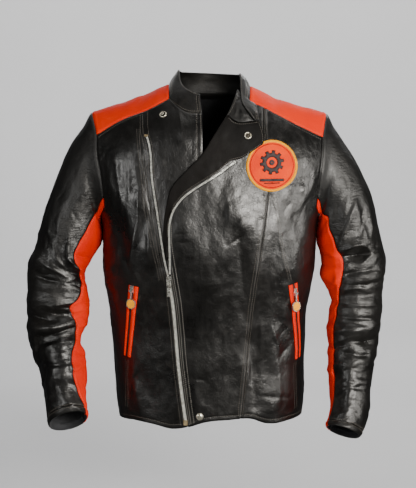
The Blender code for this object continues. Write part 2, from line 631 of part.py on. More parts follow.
def finish_of(finish):
    """The material of a finish: its name, colour, roughness and metallic value."""
    name, colour, roughness, metallic = finish
    material = bpy.data.materials.get(name)
    if material is None:
        material = bpy.data.materials.new(name)
        material.use_nodes = True
        shader = material.node_tree.nodes["Principled BSDF"]
        shader.inputs["Base Color"].default_value = (*colour, 1)
        shader.inputs["Roughness"].default_value = roughness
        shader.inputs["Metallic"].default_value = metallic
    return material


def add_object(name, mesh, finish, home, matrix=None):
    made = bpy.data.objects.new(name, mesh)
    made.data.materials.append(finish_of(finish))
    made.data.shade_smooth()
    made.data.set_sharp_from_angle(angle=radians(50))
    if matrix is not None:
        made.matrix_world = matrix
    home.objects.link(made)
    return made


def add_wall(made, wall):
    solid = made.modifiers.new("wall", "SOLIDIFY")
    solid.thickness = wall
    solid.offset = -1
    return solid


def drawn_in(grid, normals, wall, side_gap=SEAM_GAP):
    """The grid with its edges drawn in by half a seam gap, and by what a wall needs to turn a convex seam.

    side_gap is the gap beside the first and last column, as one value or one for each row.
    """
    made = grid.copy()
    edges = [(np.s_[0], np.s_[1], SEAM_GAP), (np.s_[-1], np.s_[-2], SEAM_GAP)]
    edges += [(np.s_[:, 0], np.s_[:, 1], side_gap), (np.s_[:, -1], np.s_[:, -2], side_gap)]
    for edge, inner, gap in edges:
        away = unit(grid[edge] - grid[inner])
        sine = np.clip((away * normals[edge]).sum(axis=-1), 0, 0.8)
        made[edge] -= away * (gap * 0.55 + 1.1 * wall * sine / np.sqrt(1 - sine**2))[..., None]
    return made


def sheet(name, grid, finish, home, wall=WALL, normals=None, closed=False):
    """A leather piece: a grid of outer points with a wall on its inner side. A closed one joins its columns up."""
    if normals is not None:
        grid = drawn_in(grid, normals, wall)
    rows, columns = grid.shape[:2]
    faces = []
    for row in range(rows - 1):
        for column in range(columns if closed else columns - 1):
            here, there = row * columns, (row + 1) * columns
            after = (column + 1) % columns
            faces.append((here + column, here + after, there + after, there + column))
    mesh = bpy.data.meshes.new(name)
    mesh.from_pydata(grid.reshape(-1, 3).tolist(), [], faces)
    made = add_object(name, mesh, finish, home)
    add_wall(made, wall)
    return made


def ribbon(line, edges, outs, lapped=False):
    """Grid along a line of (x, height) stations, between side offsets, with an outer height for each column."""
    centre, normal = on_front(line, 0.0, lapped)
    side = unit(np.cross(np.gradient(centre, axis=0), normal))
    columns = [centre + np.asarray(edge).reshape(-1, 1) * side + out * normal for edge, out in zip(edges, outs)]
    return np.stack(columns, axis=1)


def turned(name, profile, finish, home, matrix, steps=20):
    """A piece turned round its own Z axis from a profile of (radius, height) points, top to bottom."""
    mesh = bpy.data.meshes.new(name)
    points = [(radius, 0, height) for radius, height in profile]
    mesh.from_pydata(points, [(i, i + 1) for i in range(len(points) - 1)], [])
    made = add_object(name, mesh, finish, home, matrix)
    spin = made.modifiers.new("turn", "SCREW")
    spin.steps = spin.render_steps = steps
    spin.use_merge_vertices = True
    spin.merge_threshold = 0.00001
    spin.use_normal_calculate = True
    spin.use_normal_flip = True
    return made


def frame_at(spot, out, lapped=False):
    """Upright frame on the front: its Z points out of the jacket and its Y straight up."""
    point, normal = on_front([spot], out, lapped)
    outward = unit(normal[0] * (1, 1, 0))
    across = np.cross((0, 0, 1), outward)
    rows = np.array([across, (0, 0, 1), outward]).T
    matrix = Matrix(rows.tolist()).to_4x4()
    matrix.translation = Vector(point[0])
    return matrix


def seated_frame(spot, out, lapped=False):
    """Frame whose Z is square to the leather, for a flat fitting."""
    point, normal = on_front([spot], out, lapped)
    outward = Vector(normal[0])
    matrix = outward.to_track_quat("Z", "Y").to_matrix().to_4x4()
    matrix.translation = Vector(point[0])
    return matrix


def box_mesh(name, low, high):
    corners = [(x, y, z) for x in (low[0], high[0]) for y in (low[1], high[1]) for z in (low[2], high[2])]
    mesh = bpy.data.meshes.new(name)
    faces = [(0, 1, 3, 2), (4, 6, 7, 5), (0, 4, 5, 1), (2, 3, 7, 6), (0, 2, 6, 4), (1, 5, 7, 3)]
    mesh.from_pydata(corners, [], faces)
    return mesh


def cylinder_mesh(name, radius, length, steps=16):
    """A bar along X, centred on the origin."""
    points, faces = [], []
    for x in (-length / 2, length / 2):
        points += [(x, radius * cos(2 * pi * i / steps), radius * sin(2 * pi * i / steps)) for i in range(steps)]
    faces.append(tuple(range(steps - 1, -1, -1)))
    faces.append(tuple(range(steps, 2 * steps)))
    faces += [(i, (i + 1) % steps, steps + (i + 1) % steps, steps + i) for i in range(steps)]
    mesh = bpy.data.meshes.new(name)
    mesh.from_pydata(points, [], faces)
    return mesh


def tool(name, mesh, matrix, tools):
    made = bpy.data.objects.new(name, mesh)
    made.matrix_world = matrix
    made.hide_render = True
    tools.objects.link(made)
    return made


def combine(made, other, operation):
    step = made.modifiers.new(operation.lower(), "BOOLEAN")
    step.operation = operation
    step.solver = "EXACT"
    step.object = other


# ---------------------------------------------------------------- the pieces


def armhole_loop(grids, side):
    """Points and directions round an armhole, from the underarm up the front and down the back."""
    front, yoke = ("front_left_side", "yoke_left") if side > 0 else ("front_right_side", "yoke_right")
    near, far = (-1, 0) if side > 0 else (0, -1)
    loops = []
    for kind in (0, 1):
        up_front = grids[front][kind][SIDE_STEPS:, near]
        over = grids[yoke][kind][:, near]
        down_back = grids["back_panel"][kind][SIDE_STEPS:, far][::-1]
        loops.append(np.concatenate([up_front[:-1], over[:-1], down_back[:-1]]))
    return loops


def build_sleeves(grids, home):
    for side, name, table, folds in ((-1, "right", SLEEVE_RIGHT, SLEEVE_FOLDS_RIGHT), (1, "left", SLEEVE_LEFT, SLEEVE_FOLDS_LEFT)):
        points, directions = armhole_loop(grids, side)
        grid, normal = sleeve_grid(side, points, directions, table, folds)
        count = grid.shape[1]
        strip = np.arange(-STRIP_STEPS, STRIP_STEPS + 1)
        body = np.arange(STRIP_STEPS, count - STRIP_STEPS + 1)
        for piece, columns, finish in (("sleeve_strip_", strip, LEATHER_ORANGE), ("sleeve_", body, LEATHER_BLACK)):
            if side > 0:
                columns = columns[::-1]
            gap = SEAM_GAP * (2 + 12 * np.exp(-np.arange(len(grid)) / 1.7))
            part = drawn_in(grid[:, columns % count], normal[:, columns % count], WALL, gap)
            sheet(piece + name, part, finish, home)


def lapel_grid():
    roll = along(ROLL_LINE, LAPEL_STEPS)
    outer = along(np.concatenate([beside(LEFT_ZIP_LINE[1:], -ZIP_HALF - 0.0017), LAPEL_POINT]), LAPEL_STEPS)
    top = joined(along(LAPEL_TOP, 4), along(LAPEL_END[::-1], 2))
    roll[-1], outer[-1] = top[0], top[-1]
    bottom = np.linspace(roll[0], outer[0], len(top))
    flat = coons(roll, outer, bottom, top)
    away = beside(roll, 1.0) - roll
    edge = [roll + offset * away for offset in (-0.0020, -0.0019, -0.0006)]
    flat = np.concatenate([np.stack(edge, axis=1), flat[:, 1:]], axis=1)
    x = flat[..., 0]
    out = LAPEL_RISE + 0.0014 * soft_step((x - 0.050) / 0.035)
    out[:, :3] = (-0.0008, 0.0014, 0.0029)
    spots = angle_of(flat.reshape(-1, 2)).reshape(flat.shape)
    return torso(spots[..., 0], spots[..., 1], out, lapped=True)[0]


def collar_grid(grids):
    """The stand collar from its base row to its top edge, from the right front end round to the left one."""
    inner, back = grids["front_right_inner"], grids["back_panel"]
    runs = []
    for kind in (0, 1):
        right_front = inner[kind][-1, RIGHT_INNER_YOKE_STEPS:][::-1]
        right = grids["yoke_right"][kind][:, -1]
        first = LEFT_SIDE_STEPS + LEFT_YOKE_STEPS
        behind = back[kind][-1, first : first + NECK_BACK_STEPS + 1][::-1]
        left = grids["yoke_left"][kind][:, 0][::-1]
        runs.append([right_front, right, behind, left])
    foot, foot_normal = on_front(along(COLLAR_FOOT_LEFT, 4), 0.0005)
    base = joined(*runs[0], foot)
    normal = joined(*runs[1], foot_normal)
    counts = [NECK_RIGHT_STEPS, YOKE_STEPS, NECK_BACK_STEPS, YOKE_STEPS, 4]
    place = joined(*[np.linspace(i, i + 1, count + 1) for i, count in enumerate(counts)])
    base = base + (0.0006 + 0.0015 * soft_step((place - 3.5) / 0.5))[:, None] * normal
    top = smooth(place, COLLAR_TOP[:, 0], COLLAR_TOP[:, 1:])
    rows = np.linspace(0, 1, COLLAR_STEPS + 1)[:, None, None]
    around = unit(np.gradient(top, axis=0))
    bulge = unit(np.cross(top - base, around))
    return base + rows * (top - base) + 0.002 * np.sin(pi * rows) * bulge, place


def facing_grid(collar, place, lapel_top):
    """The inner collar face beyond the left end, from behind the collar's top edge to its neck-side edge."""
    start = int(np.argmin(np.abs(place - 4.0)))
    top = collar[-1, start:]
    normal = unit(np.cross(collar[-1] - collar[-2], np.gradient(collar[-1], axis=0)))[start:]
    outer = top - (COLLAR_WALL + 0.0004) * normal
    inner = along(FACING_INNER, len(outer) - 1)[::-1]
    low = lapel_top[:5] + np.array([0, 0, 0.0015])
    low = low[::-1]
    low[0], low[-1] = outer[-1], inner[-1]
    high = np.linspace(outer[0], inner[0], len(low))
    return coons(high, low, outer, inner).transpose(1, 0, 2)


def build_neck(grids, home):
    lapel = lapel_grid()
    sheet("lapel", lapel, LEATHER_MATT, home)
    collar, place = collar_grid(grids)
    sheet("collar", collar[:, ::-1], LEATHER_BLACK, home, wall=COLLAR_WALL)
    sheet("collar_facing", facing_grid(collar, place, lapel[-1, 2:]), LEATHER_BLACK, home)


def zip_strip(name, line, half, home, rows, lapped=False):
    grid = ribbon(along(line, rows), (-half, 0, half), (0.0020, 0.0023, 0.0020), lapped)
    return sheet(name, grid, ZIP_METAL, home)


def cut_line(line, low, high):
    """The part of a rising line between two heights."""
    line = np.asarray(line, float)
    inside = [tuple(p) for p in line if low + 0.002 < p[1] < high - 0.002]
    ends = [(np.interp(z, line[:, 1], line[:, 0]), z) for z in (low, high)]
    return [ends[0]] + inside + [ends[1]]


def build_main_zip(home, tools):
    zip_strip("zip_closed", cut_line(ZIP_LINE, -0.6160, SLIDER_AT[1] + 0.004), ZIP_CLOSED_HALF, home, 14)
    zip_strip("zip_half_right", cut_line(ZIP_LINE, SLIDER_AT[1] + 0.006, -0.0700), ZIP_HALF, home, 14)
    zip_strip("zip_half_left", LEFT_ZIP_LINE, ZIP_HALF, home, 22, lapped=True)
    lower_end = (np.interp(-0.6140, [p[1] for p in ZIP_LINE], [p[0] for p in ZIP_LINE]), -0.6140)
    box = box_mesh("zip_box", (-0.0040, -0.0050, 0.0027), (0.0036, 0.0050, 0.0045))
    add_object("zip_box", box, ZIP_METAL, home, seated_frame(lower_end, 0.0))
    stop = box_mesh("zip_stop", (-0.0034, -0.0020, 0.0004), (0.0034, 0.0020, 0.0028))
    add_object("zip_stop", stop, ZIP_METAL, home, seated_frame((ZIP_LINE[-1][0], ZIP_LINE[-1][1] - 0.0015), 0.0))


def build_slider(name, spot, size, low, home, tools):
    """A slider body with two lugs and the pin between them. Its pin's centre is the returned hinge point."""
    width, height, thick = size
    frame = seated_frame(spot, 0.0)
    body = box_mesh(name, (-width / 2, -height / 2, low), (width / 2, height / 2, low + thick))
    slider = add_object(name, body, ZIP_METAL, home, frame)
    pin_height = low + thick + 0.0026
    pin_at = -height * 0.18
    for sign in (-1, 1):
        near, far = sign * 0.0024, sign * 0.0036
        lug = box_mesh(
            name + "_lug",
            (min(near, far), pin_at - 0.0018, low + thick - 0.0008),
            (max(near, far), pin_at + 0.0018, pin_height + 0.0014),
        )
        combine(slider, tool(f"{name}_lug{sign}", lug, frame, tools), "UNION")
    pin = tool(f"{name}_pin", cylinder_mesh(name + "_pin", 0.0007, 0.0060, 12), frame @ Matrix.Translation((0, pin_at, pin_height)), tools)
    combine(slider, pin, "UNION")
    return slider, frame @ Vector((0, pin_at, pin_height))


def hanging_frame(spot, point):
    """Upright frame at a hinge point: Z out of the jacket, Y straight up."""
    matrix = frame_at(spot, 0.0)
    matrix.translation = point
    return matrix


def build_pull(name, matrix, length, width, home, tools, disc=None, broad=None):
    """A pull with an eye round the pin, hanging straight down. It ends in a round rim or a broad tongue."""
    eye = add_object(name, cylinder_mesh(name, 0.0020, 0.0038, 20), ZIP_METAL, home, matrix)
    neck_end = length if disc is None else length - disc + 0.0008
    plate = box_mesh(name + "_plate", (-width / 2, -neck_end, -0.0007), (width / 2, -0.0014, 0.0007))
    combine(eye, tool(name + "_plate", plate, matrix, tools), "UNION")
    if broad is not None:
        tongue = box_mesh(name + "_tongue", (-broad / 2, -length - 0.0010, -0.0009), (broad / 2, -0.0065, 0.0009))
        combine(eye, tool(name + "_tongue", tongue, matrix, tools), "UNION")
    if disc is not None:
        rim = cylinder_mesh(name + "_rim", disc, 0.0022, 28)
        flat = matrix @ Matrix.Translation((0, -length, 0)) @ Matrix.Rotation(radians(90), 4, "Y")
        combine(eye, tool(name + "_rim", rim, flat, tools), "UNION")
        hollow = cylinder_mesh(name + "_hollow", disc - 0.0014, 0.0030, 28)
        front = matrix @ Matrix.Translation((0, -length, 0.0015)) @ Matrix.Rotation(radians(90), 4, "Y")
        combine(eye, tool(name + "_hollow", hollow, front, tools), "DIFFERENCE")
    hole = tool(name + "_hole", cylinder_mesh(name + "_hole", 0.0012, 0.0080, 16), matrix, tools)
    combine(eye, hole, "DIFFERENCE")
    return eye


def build_pockets(home, tools):
    for side, (slit, sign) in POCKETS.items():
        line = along(slit, 8)
        taper = np.linspace(0.82, 1.0, len(line))
        for part, (near, far) in POCKET_WELTS.items():
            direction = sign if part == "outer" else -sign
            edges = sorted([direction * near, direction * (near + far) / 2, direction * far])
            widths = [np.sign(e) * (near + (abs(e) - near) * taper) for e in edges]
            grid = ribbon(line, widths, (0.0019, 0.0022, 0.0019))
            sheet(f"pocket_welt_{side}_{part}", grid, LEATHER_ORANGE, home, wall=0.0014)
        zip_grid = ribbon(line[:-1], (-0.0018, 0, 0.0018), (0.0016, 0.0018, 0.0016))
        sheet(f"pocket_zip_{side}", zip_grid, ZIP_METAL, home, wall=0.0012)
        height = -0.3590 if side == "right" else -0.3660
        spot = (np.interp(height, line[:, 1], line[:, 0]), height)
        slider, hinge = build_slider(f"pocket_slider_{side}", spot, (0.0072, 0.0140, 0.0018), 0.0026, home, tools)
        matrix = hanging_frame(spot, hinge)
        build_pull(f"pocket_pull_{side}", matrix, 0.0250, 0.0030, home, tools, disc=0.0100)
        enamel = cylinder_mesh(f"pocket_disc_{side}", 0.0083, 0.0012, 28)
        face = matrix @ Matrix.Translation((0, -0.0250, 0.0008)) @ Matrix.Rotation(radians(90), 4, "Y")
        add_object(f"pocket_disc_{side}", enamel, ENAMEL_YELLOW, home, face)


def disc_grid(centre, radius, steps, out):
    """A round patch on the front as a square grid of points."""
    u, v = np.meshgrid(np.linspace(-1, 1, steps + 1), np.linspace(-1, 1, steps + 1))
    x = centre[0] + radius * u * np.sqrt(1 - v * v / 2)
    z = centre[1] + radius * v * np.sqrt(1 - u * u / 2)
    points = on_front(np.stack([x.ravel(), z.ravel()], axis=1), out)[0]
    return points.reshape(steps + 1, steps + 1, 3)


def build_badge(home):
    inner = BADGE_RADIUS - BADGE_BORDER
    sheet("badge", disc_grid(BADGE_CENTRE, inner - 0.0003, 10, 0.0017), LEATHER_ORANGE, home, wall=0.0012)
    turn = np.linspace(0, 2 * pi, 36, endpoint=False)
    rings = []
    for radius, out in ((BADGE_RADIUS, 0.0019), ((BADGE_RADIUS + inner) / 2, 0.0022), (inner, 0.0019)):
        spots = np.stack([BADGE_CENTRE[0] + radius * np.cos(turn), BADGE_CENTRE[1] + radius * np.sin(turn)], axis=1)
        rings.append(on_front(spots, out)[0])
    sheet("badge_border", np.array(rings), BORDER_YELLOW, home, wall=0.0014, closed=True)


def build_snaps(home):
    rim = SNAP_RADIUS
    stud = [(0, 0.0050), (0.0028, 0.0046), (0.0036, 0.0034), (0.0030, 0.0022), (rim - 0.0008, 0.0018), (rim, 0.0012), (rim, 0.0004), (0, 0.0004)]
    turned("snap_stud", stud, SNAP_METAL, home, seated_frame(STUD_AT, -0.0006))
    ring = [(0.0032, 0.0010), (0.0036, 0.0022), (rim - 0.0010, 0.0022), (rim, 0.0012), (rim, 0.0004), (0.0032, 0.0004), (0.0032, 0.0010)]
    rise = LAPEL_RISE + 0.0014 * float(soft_step((LAPEL_RING_AT[0] - 0.050) / 0.035))
    turned("snap_ring", ring, SNAP_METAL, home, seated_frame(LAPEL_RING_AT, rise))
    cap = [(0, 0.0024), (rim - 0.0024, 0.0022), (rim - 0.0006, 0.0015), (rim, 0.0008), (rim, 0.0004), (0, 0.0004)]
    turned("snap_hem", cap, SNAP_METAL, home, seated_frame(HEM_SNAP_AT, 0.0, lapped=True))


def main():
    clear_scene()
    home, tools = collection("leather_jacket"), collection("cutters")
    tools.hide_render = True
    grids = torso_grids()
    for name, (grid, normals) in grids.items():
        sheet(name, grid, LEATHER_ORANGE if name.startswith("yoke") else LEATHER_BLACK, home, normals=normals)
    build_sleeves(grids, home)
    build_neck(grids, home)
    build_main_zip(home, tools)
    slider, hinge = build_slider("zip_slider", SLIDER_AT, (0.0092, 0.0220, 0.0022), 0.0036, home, tools)
    build_pull("zip_pull", hanging_frame(SLIDER_AT, hinge), 0.0220, 0.0030, home, tools, broad=0.0054)
    build_pockets(home, tools)
    build_badge(home)
    build_snaps(home)


main()
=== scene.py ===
"""Dressed model of a leather motorcycle jacket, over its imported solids.

Metres, in the frame of the solids: the origin is the middle of the neck base, +Z is up, +X is the wearer's
left and -Y is the front. The leather pieces are fine closed shells on the same seams as the solids, with
creases, seam grooves, stitching, zip teeth and procedural materials.
"""

from math import cos, pi, radians, sin

import bpy
import numpy as np
from mathutils import Matrix, Vector


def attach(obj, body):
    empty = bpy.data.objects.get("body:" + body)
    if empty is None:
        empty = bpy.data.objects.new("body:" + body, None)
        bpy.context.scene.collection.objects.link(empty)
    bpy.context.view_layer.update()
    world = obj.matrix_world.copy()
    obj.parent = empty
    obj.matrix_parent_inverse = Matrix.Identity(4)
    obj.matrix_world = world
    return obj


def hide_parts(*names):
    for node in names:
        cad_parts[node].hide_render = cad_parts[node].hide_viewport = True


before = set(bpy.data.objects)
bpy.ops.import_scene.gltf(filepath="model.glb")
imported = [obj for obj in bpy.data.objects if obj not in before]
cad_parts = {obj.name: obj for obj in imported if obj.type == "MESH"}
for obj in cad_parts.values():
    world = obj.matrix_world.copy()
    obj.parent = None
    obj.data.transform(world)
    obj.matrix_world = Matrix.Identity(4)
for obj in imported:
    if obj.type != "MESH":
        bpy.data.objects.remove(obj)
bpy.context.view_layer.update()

# ---------------------------------------------------------------- dimensions shared with the solids

WALL = 0.0016  # leather, sewn
COLLAR_WALL = 0.0022  # two layers of leather
SQUARENESS = 2.4  # exponent of the torso's oval sections, where 2 is an ellipse
SHOULDER_ROUND = 0.120  # height over which the shoulder ridge rounds into the chest and the back
UNDERARM = -0.235  # height of the underarm point
LAP = 0.0026  # how far the left front lies over the right one
LAPEL_RISE = 0.0032  # outer face of the turned-back lapel over the left front
ZIP_HALF = 0.0030  # half the width of one open zip half
ZIP_CLOSED_HALF = 0.0036  # half the width of the closed zip
BADGE_RADIUS = 0.0480
BADGE_BORDER = 0.0052
PIXEL = 0.00196  # metres to a pixel of the photograph
PHOTO_HEIGHT = 488  # pixels
PHOTO_MIDDLE = (-1.5, -144)  # pixels from the origin, right and up

# Half-widths and depths of the torso. Columns: height, right, left, front, back.
BODY = np.array([
    (-0.640, 0.1760, 0.1800, 0.114, 0.102),
    (-0.580, 0.1830, 0.1860, 0.116, 0.104),
    (-0.520, 0.1865, 0.1850, 0.116, 0.104),
    (-0.460, 0.1920, 0.1880, 0.116, 0.103),
    (-0.400, 0.1990, 0.1910, 0.117, 0.104),
    (-0.340, 0.2075, 0.2020, 0.120, 0.108),
    (-0.280, 0.2095, 0.2075, 0.124, 0.114),
    (-0.235, 0.2115, 0.2115, 0.126, 0.118),
    (-0.180, 0.2310, 0.2300, 0.127, 0.120),
    (-0.120, 0.2450, 0.2450, 0.124, 0.118),
    (-0.060, 0.2490, 0.2490, 0.116, 0.108),
    (0.000, 0.2500, 0.2500, 0.105, 0.090),
    (0.060, 0.2500, 0.2500, 0.095, 0.075),
])

# The shoulder ridge and the lines drawn on the fronts, as (x, height) rows.
RIDGE = np.array([
    (-0.2400, -0.0310), (-0.2277, -0.0265), (-0.1617, -0.0053), (-0.1213, 0.0098), (-0.0790, 0.0270),
    (-0.0400, 0.0360), (0.0000, 0.0380), (0.0400, 0.0350), (0.0774, 0.0240), (0.1313, -0.0020),
    (0.1813, -0.0160), (0.2258, -0.0285), (0.2400, -0.0330),
])
HEM = np.array([
    (-0.1800, -0.6230), (-0.1440, -0.6180), (-0.1070, -0.6215), (-0.0700, -0.6280), (-0.0410, -0.6235),
    (-0.0100, -0.6140), (0.0400, -0.6095), (0.0800, -0.6085), (0.1080, -0.6190), (0.1290, -0.6210),
    (0.1540, -0.6190), (0.1850, -0.6170),
])
YOKE_SEAM_RIGHT = [(-0.2156, -0.0674), (-0.1712, -0.0403), (-0.1174, -0.0190), (-0.0765, 0.0023)]
YOKE_SEAM_LEFT = [
    (0.0747, -0.0040), (0.0932, -0.0100), (0.1318, -0.0298), (0.1708, -0.0498), (0.2164, -0.0720),
]
ARMHOLE_FRONT_RIGHT = [
    (-0.2115, -0.2350), (-0.2060, -0.2140), (-0.2030, -0.1850), (-0.2066, -0.1468), (-0.2140, -0.1050),
    (-0.2156, -0.0674),
]
ARMHOLE_FRONT_LEFT = [
    (0.2115, -0.2350), (0.2070, -0.2140), (0.2065, -0.1850), (0.2100, -0.1468), (0.2145, -0.1050),
    (0.2164, -0.0720),
]
ARMHOLE_BACK = [
    (0.2115, -0.2350), (0.2040, -0.2120), (0.2010, -0.1800), (0.2040, -0.1400), (0.2100, -0.1000),
    (0.2145, -0.0680),
]
YOKE_SEAM_BACK = [(0.0755, 0.0080), (0.1150, -0.0150), (0.1650, -0.0420), (0.2145, -0.0680)]
NECK_FRONT_RIGHT = [
    (-0.0765, 0.0023), (-0.0595, -0.0125), (-0.0443, -0.0215), (-0.0292, -0.0240), (-0.0142, -0.0232),
]
NECK_FRONT_LEFT = [(0.0346, -0.0303), (0.0560, -0.0190), (0.0747, -0.0040)]
NECK_BACK = [(0.0755, 0.0080), (0.0400, 0.0090), (0.0000, 0.0100), (-0.0400, 0.0090), (-0.0755, 0.0080)]
FREE_EDGE = [
    (-0.0150, -0.6080), (-0.0145, -0.4000), (-0.0142, -0.2000), (-0.0132, -0.0743), (-0.0142, -0.0232),
]
ZIP_LINE = [
    (-0.0445, -0.6194), (-0.0537, -0.5510), (-0.0587, -0.5084), (-0.0637, -0.4466), (-0.0696, -0.3830),
    (-0.0766, -0.3387), (-0.0845, -0.3062), (-0.0895, -0.2737), (-0.0985, -0.2130), (-0.1078, -0.1491),
    (-0.1138, -0.0823), (-0.1188, -0.0658),
]
ROLL_LINE = [
    (-0.0790, -0.3000), (-0.0835, -0.2622), (-0.0779, -0.1957), (-0.0684, -0.1640), (-0.0422, -0.1336),
    (-0.0141, -0.1046), (0.0110, -0.0660), (0.0346, -0.0303),
]
LEFT_ZIP_LINE = [
    (-0.0738, -0.3270), (-0.0736, -0.3002), (-0.0742, -0.2639), (-0.0738, -0.2327), (-0.0668, -0.2069),
    (-0.0488, -0.1819), (-0.0220, -0.1621), (0.0139, -0.1399), (0.0485, -0.1150),
]
LAPEL_POINT = [(0.0520, -0.1105), (0.0778, -0.0966), (0.0995, -0.0826)]
LAPEL_END = [(0.0995, -0.0826), (0.1003, -0.0735), (0.0929, -0.0427)]
LAPEL_TOP = [
    (0.0346, -0.0309), (0.0458, -0.0406), (0.0578, -0.0447), (0.0745, -0.0441), (0.0929, -0.0427),
]
PRINCESS_SEAM = [
    (0.0602, -0.6095), (0.0676, -0.5320), (0.0805, -0.3969), (0.0988, -0.2626), (0.1095, -0.1717),
    (0.1058, -0.0749), (0.1054, -0.0162),
]
ZIP_SEAM_TOP = (-0.1225, -0.0208)
BADGE_CENTRE = (0.1162, -0.1231)
STUD_AT = (-0.0877, -0.0276)
LAPEL_RING_AT = (0.0709, -0.0677)
HEM_SNAP_AT = (-0.0188, -0.6020)
SLIDER_AT = (-0.0762, -0.3420)
POCKETS = {  # slit line of each pocket, from its foot to its top, and the sign of the side seam's side
    "right": ([(-0.1590, -0.4930), (-0.1545, -0.4440), (-0.1502, -0.3989), (-0.1460, -0.3530)], -1),
    "left": ([(0.1715, -0.5000), (0.1690, -0.4500), (0.1655, -0.4000), (0.1604, -0.3510)], 1),
}
POCKET_WELTS = {"inner": (0.0022, 0.0120), "outer": (0.0022, 0.0090)}  # near and far edge from the slit

# Top edge of the collar. Places along it count the corners of the neckline: 0 right front end, 1 and 2 the
# ends of the right yoke, 3 and 4 those of the left yoke, 5 left front end. Columns: place, x, y, z.
COLLAR_TOP = np.array([
    (0.00, -0.0186, -0.0790, 0.0102),
    (0.50, -0.0362, -0.0690, 0.0166),
    (1.00, -0.0520, -0.0430, 0.0290),
    (1.50, -0.0595, 0.0000, 0.0545),
    (2.00, -0.0530, 0.0330, 0.0510),
    (2.50, 0.0000, 0.0530, 0.0480),
    (3.00, 0.0530, 0.0330, 0.0460),
    (3.50, 0.0585, 0.0000, 0.0465),
    (4.00, 0.0592, -0.0600, 0.0125),
    (4.33, 0.0612, -0.0880, -0.0050),
    (4.66, 0.0735, -0.1045, -0.0225),
    (5.00, 0.0870, -0.1065, -0.0380),
])
COLLAR_FOOT_LEFT = [(0.0747, -0.0040), (0.0870, -0.0105), (0.0915, -0.0250), (0.0930, -0.0390)]
FACING_INNER = [
    (0.0343, -0.1068, -0.0295), (0.0410, -0.0985, -0.0160), (0.0482, -0.0850, 0.0010),
    (0.0545, -0.0570, 0.0190),
]

# Rings of each sleeve from the shoulder to the cuff. The outer and inner points are its sides seen from the
# front; strip gives the angle at which the contrast strip starts: 0 on the outer side, 180 on the inner one.
# Columns: outer x and z, inner x and z, y of the middle, half depth, tilt, strip.
SLEEVE_RIGHT = np.array([
    (0.2437, -0.0535, 0.2120, -0.2445, 0.000, 0.066, 3, 137),
    (0.2712, -0.0942, 0.2096, -0.2560, -0.001, 0.065, 4, 130),
    (0.2931, -0.1467, 0.2092, -0.2700, -0.003, 0.064, 5, 123),
    (0.3088, -0.1874, 0.2126, -0.2860, -0.006, 0.063, 5, 118),
    (0.3206, -0.2204, 0.2239, -0.3030, -0.009, 0.062, 5, 117),
    (0.3286, -0.2573, 0.2366, -0.3223, -0.012, 0.061, 6, 118),
    (0.3404, -0.2904, 0.2443, -0.3377, -0.015, 0.060, 8, 138),
    (0.3506, -0.3156, 0.2443, -0.3550, -0.018, 0.060, 12, 150),
    (0.3553, -0.3524, 0.2383, -0.3741, -0.022, 0.059, 17, 142),
    (0.3551, -0.3831, 0.2347, -0.3969, -0.028, 0.058, 21, 134),
    (0.3535, -0.4115, 0.2358, -0.4214, -0.035, 0.055, 24, 118),
    (0.3524, -0.4397, 0.2441, -0.4437, -0.043, 0.053, 26, 142),
    (0.3508, -0.4639, 0.2487, -0.4600, -0.051, 0.052, 27, 150),
    (0.3427, -0.4880, 0.2442, -0.4840, -0.059, 0.051, 28, 136),
    (0.3356, -0.5061, 0.2389, -0.5061, -0.067, 0.050, 29, 122),
    (0.3281, -0.5239, 0.2365, -0.5278, -0.076, 0.049, 30, 119),
    (0.3225, -0.5453, 0.2378, -0.5492, -0.086, 0.048, 30, 125),
    (0.3169, -0.5706, 0.2373, -0.5725, -0.096, 0.047, 31, 136),
    (0.3120, -0.5957, 0.2338, -0.5898, -0.106, 0.046, 32, 154),
    (0.3077, -0.6211, 0.2319, -0.6016, -0.114, 0.045, 34, 162),
])
SLEEVE_LEFT = np.array([
    (0.2398, -0.0535, 0.2120, -0.2445, 0.000, 0.066, 3, 137),
    (0.2614, -0.0865, 0.2096, -0.2550, -0.001, 0.065, 4, 130),
    (0.2849, -0.1213, 0.2090, -0.2670, -0.003, 0.064, 5, 121),
    (0.3006, -0.1523, 0.2098, -0.2795, -0.006, 0.063, 5, 124),
    (0.3143, -0.1852, 0.2150, -0.2931, -0.009, 0.062, 5, 124),
    (0.3274, -0.2397, 0.2170, -0.3080, -0.012, 0.061, 6, 121),
    (0.3374, -0.2845, 0.2165, -0.3258, -0.015, 0.060, 8, 112),
    (0.3440, -0.3097, 0.2187, -0.3451, -0.018, 0.059, 12, 114),
    (0.3422, -0.3367, 0.2274, -0.3643, -0.022, 0.058, 17, 123),
    (0.3391, -0.3712, 0.2349, -0.3831, -0.028, 0.057, 21, 138),
    (0.3345, -0.4056, 0.2327, -0.4135, -0.035, 0.055, 24, 139),
    (0.3320, -0.4358, 0.2298, -0.4417, -0.043, 0.053, 26, 140),
    (0.3300, -0.4619, 0.2301, -0.4698, -0.051, 0.052, 27, 143),
    (0.3246, -0.4900, 0.2307, -0.4978, -0.059, 0.051, 28, 147),
    (0.3193, -0.5179, 0.2309, -0.5258, -0.067, 0.050, 28, 150),
    (0.3138, -0.5455, 0.2324, -0.5554, -0.076, 0.049, 28, 153),
    (0.3084, -0.5768, 0.2332, -0.5827, -0.086, 0.048, 28, 157),
    (0.3029, -0.6078, 0.2288, -0.6039, -0.096, 0.047, 27, 160),
    (0.2937, -0.6329, 0.2230, -0.6152, -0.106, 0.046, 26, 162),
    (0.2871, -0.6427, 0.2220, -0.6211, -0.114, 0.045, 25, 162),
])
STRIP_BACK_ANGLE = 138  # the strip's rear edge, which runs evenly down the back of the sleeve

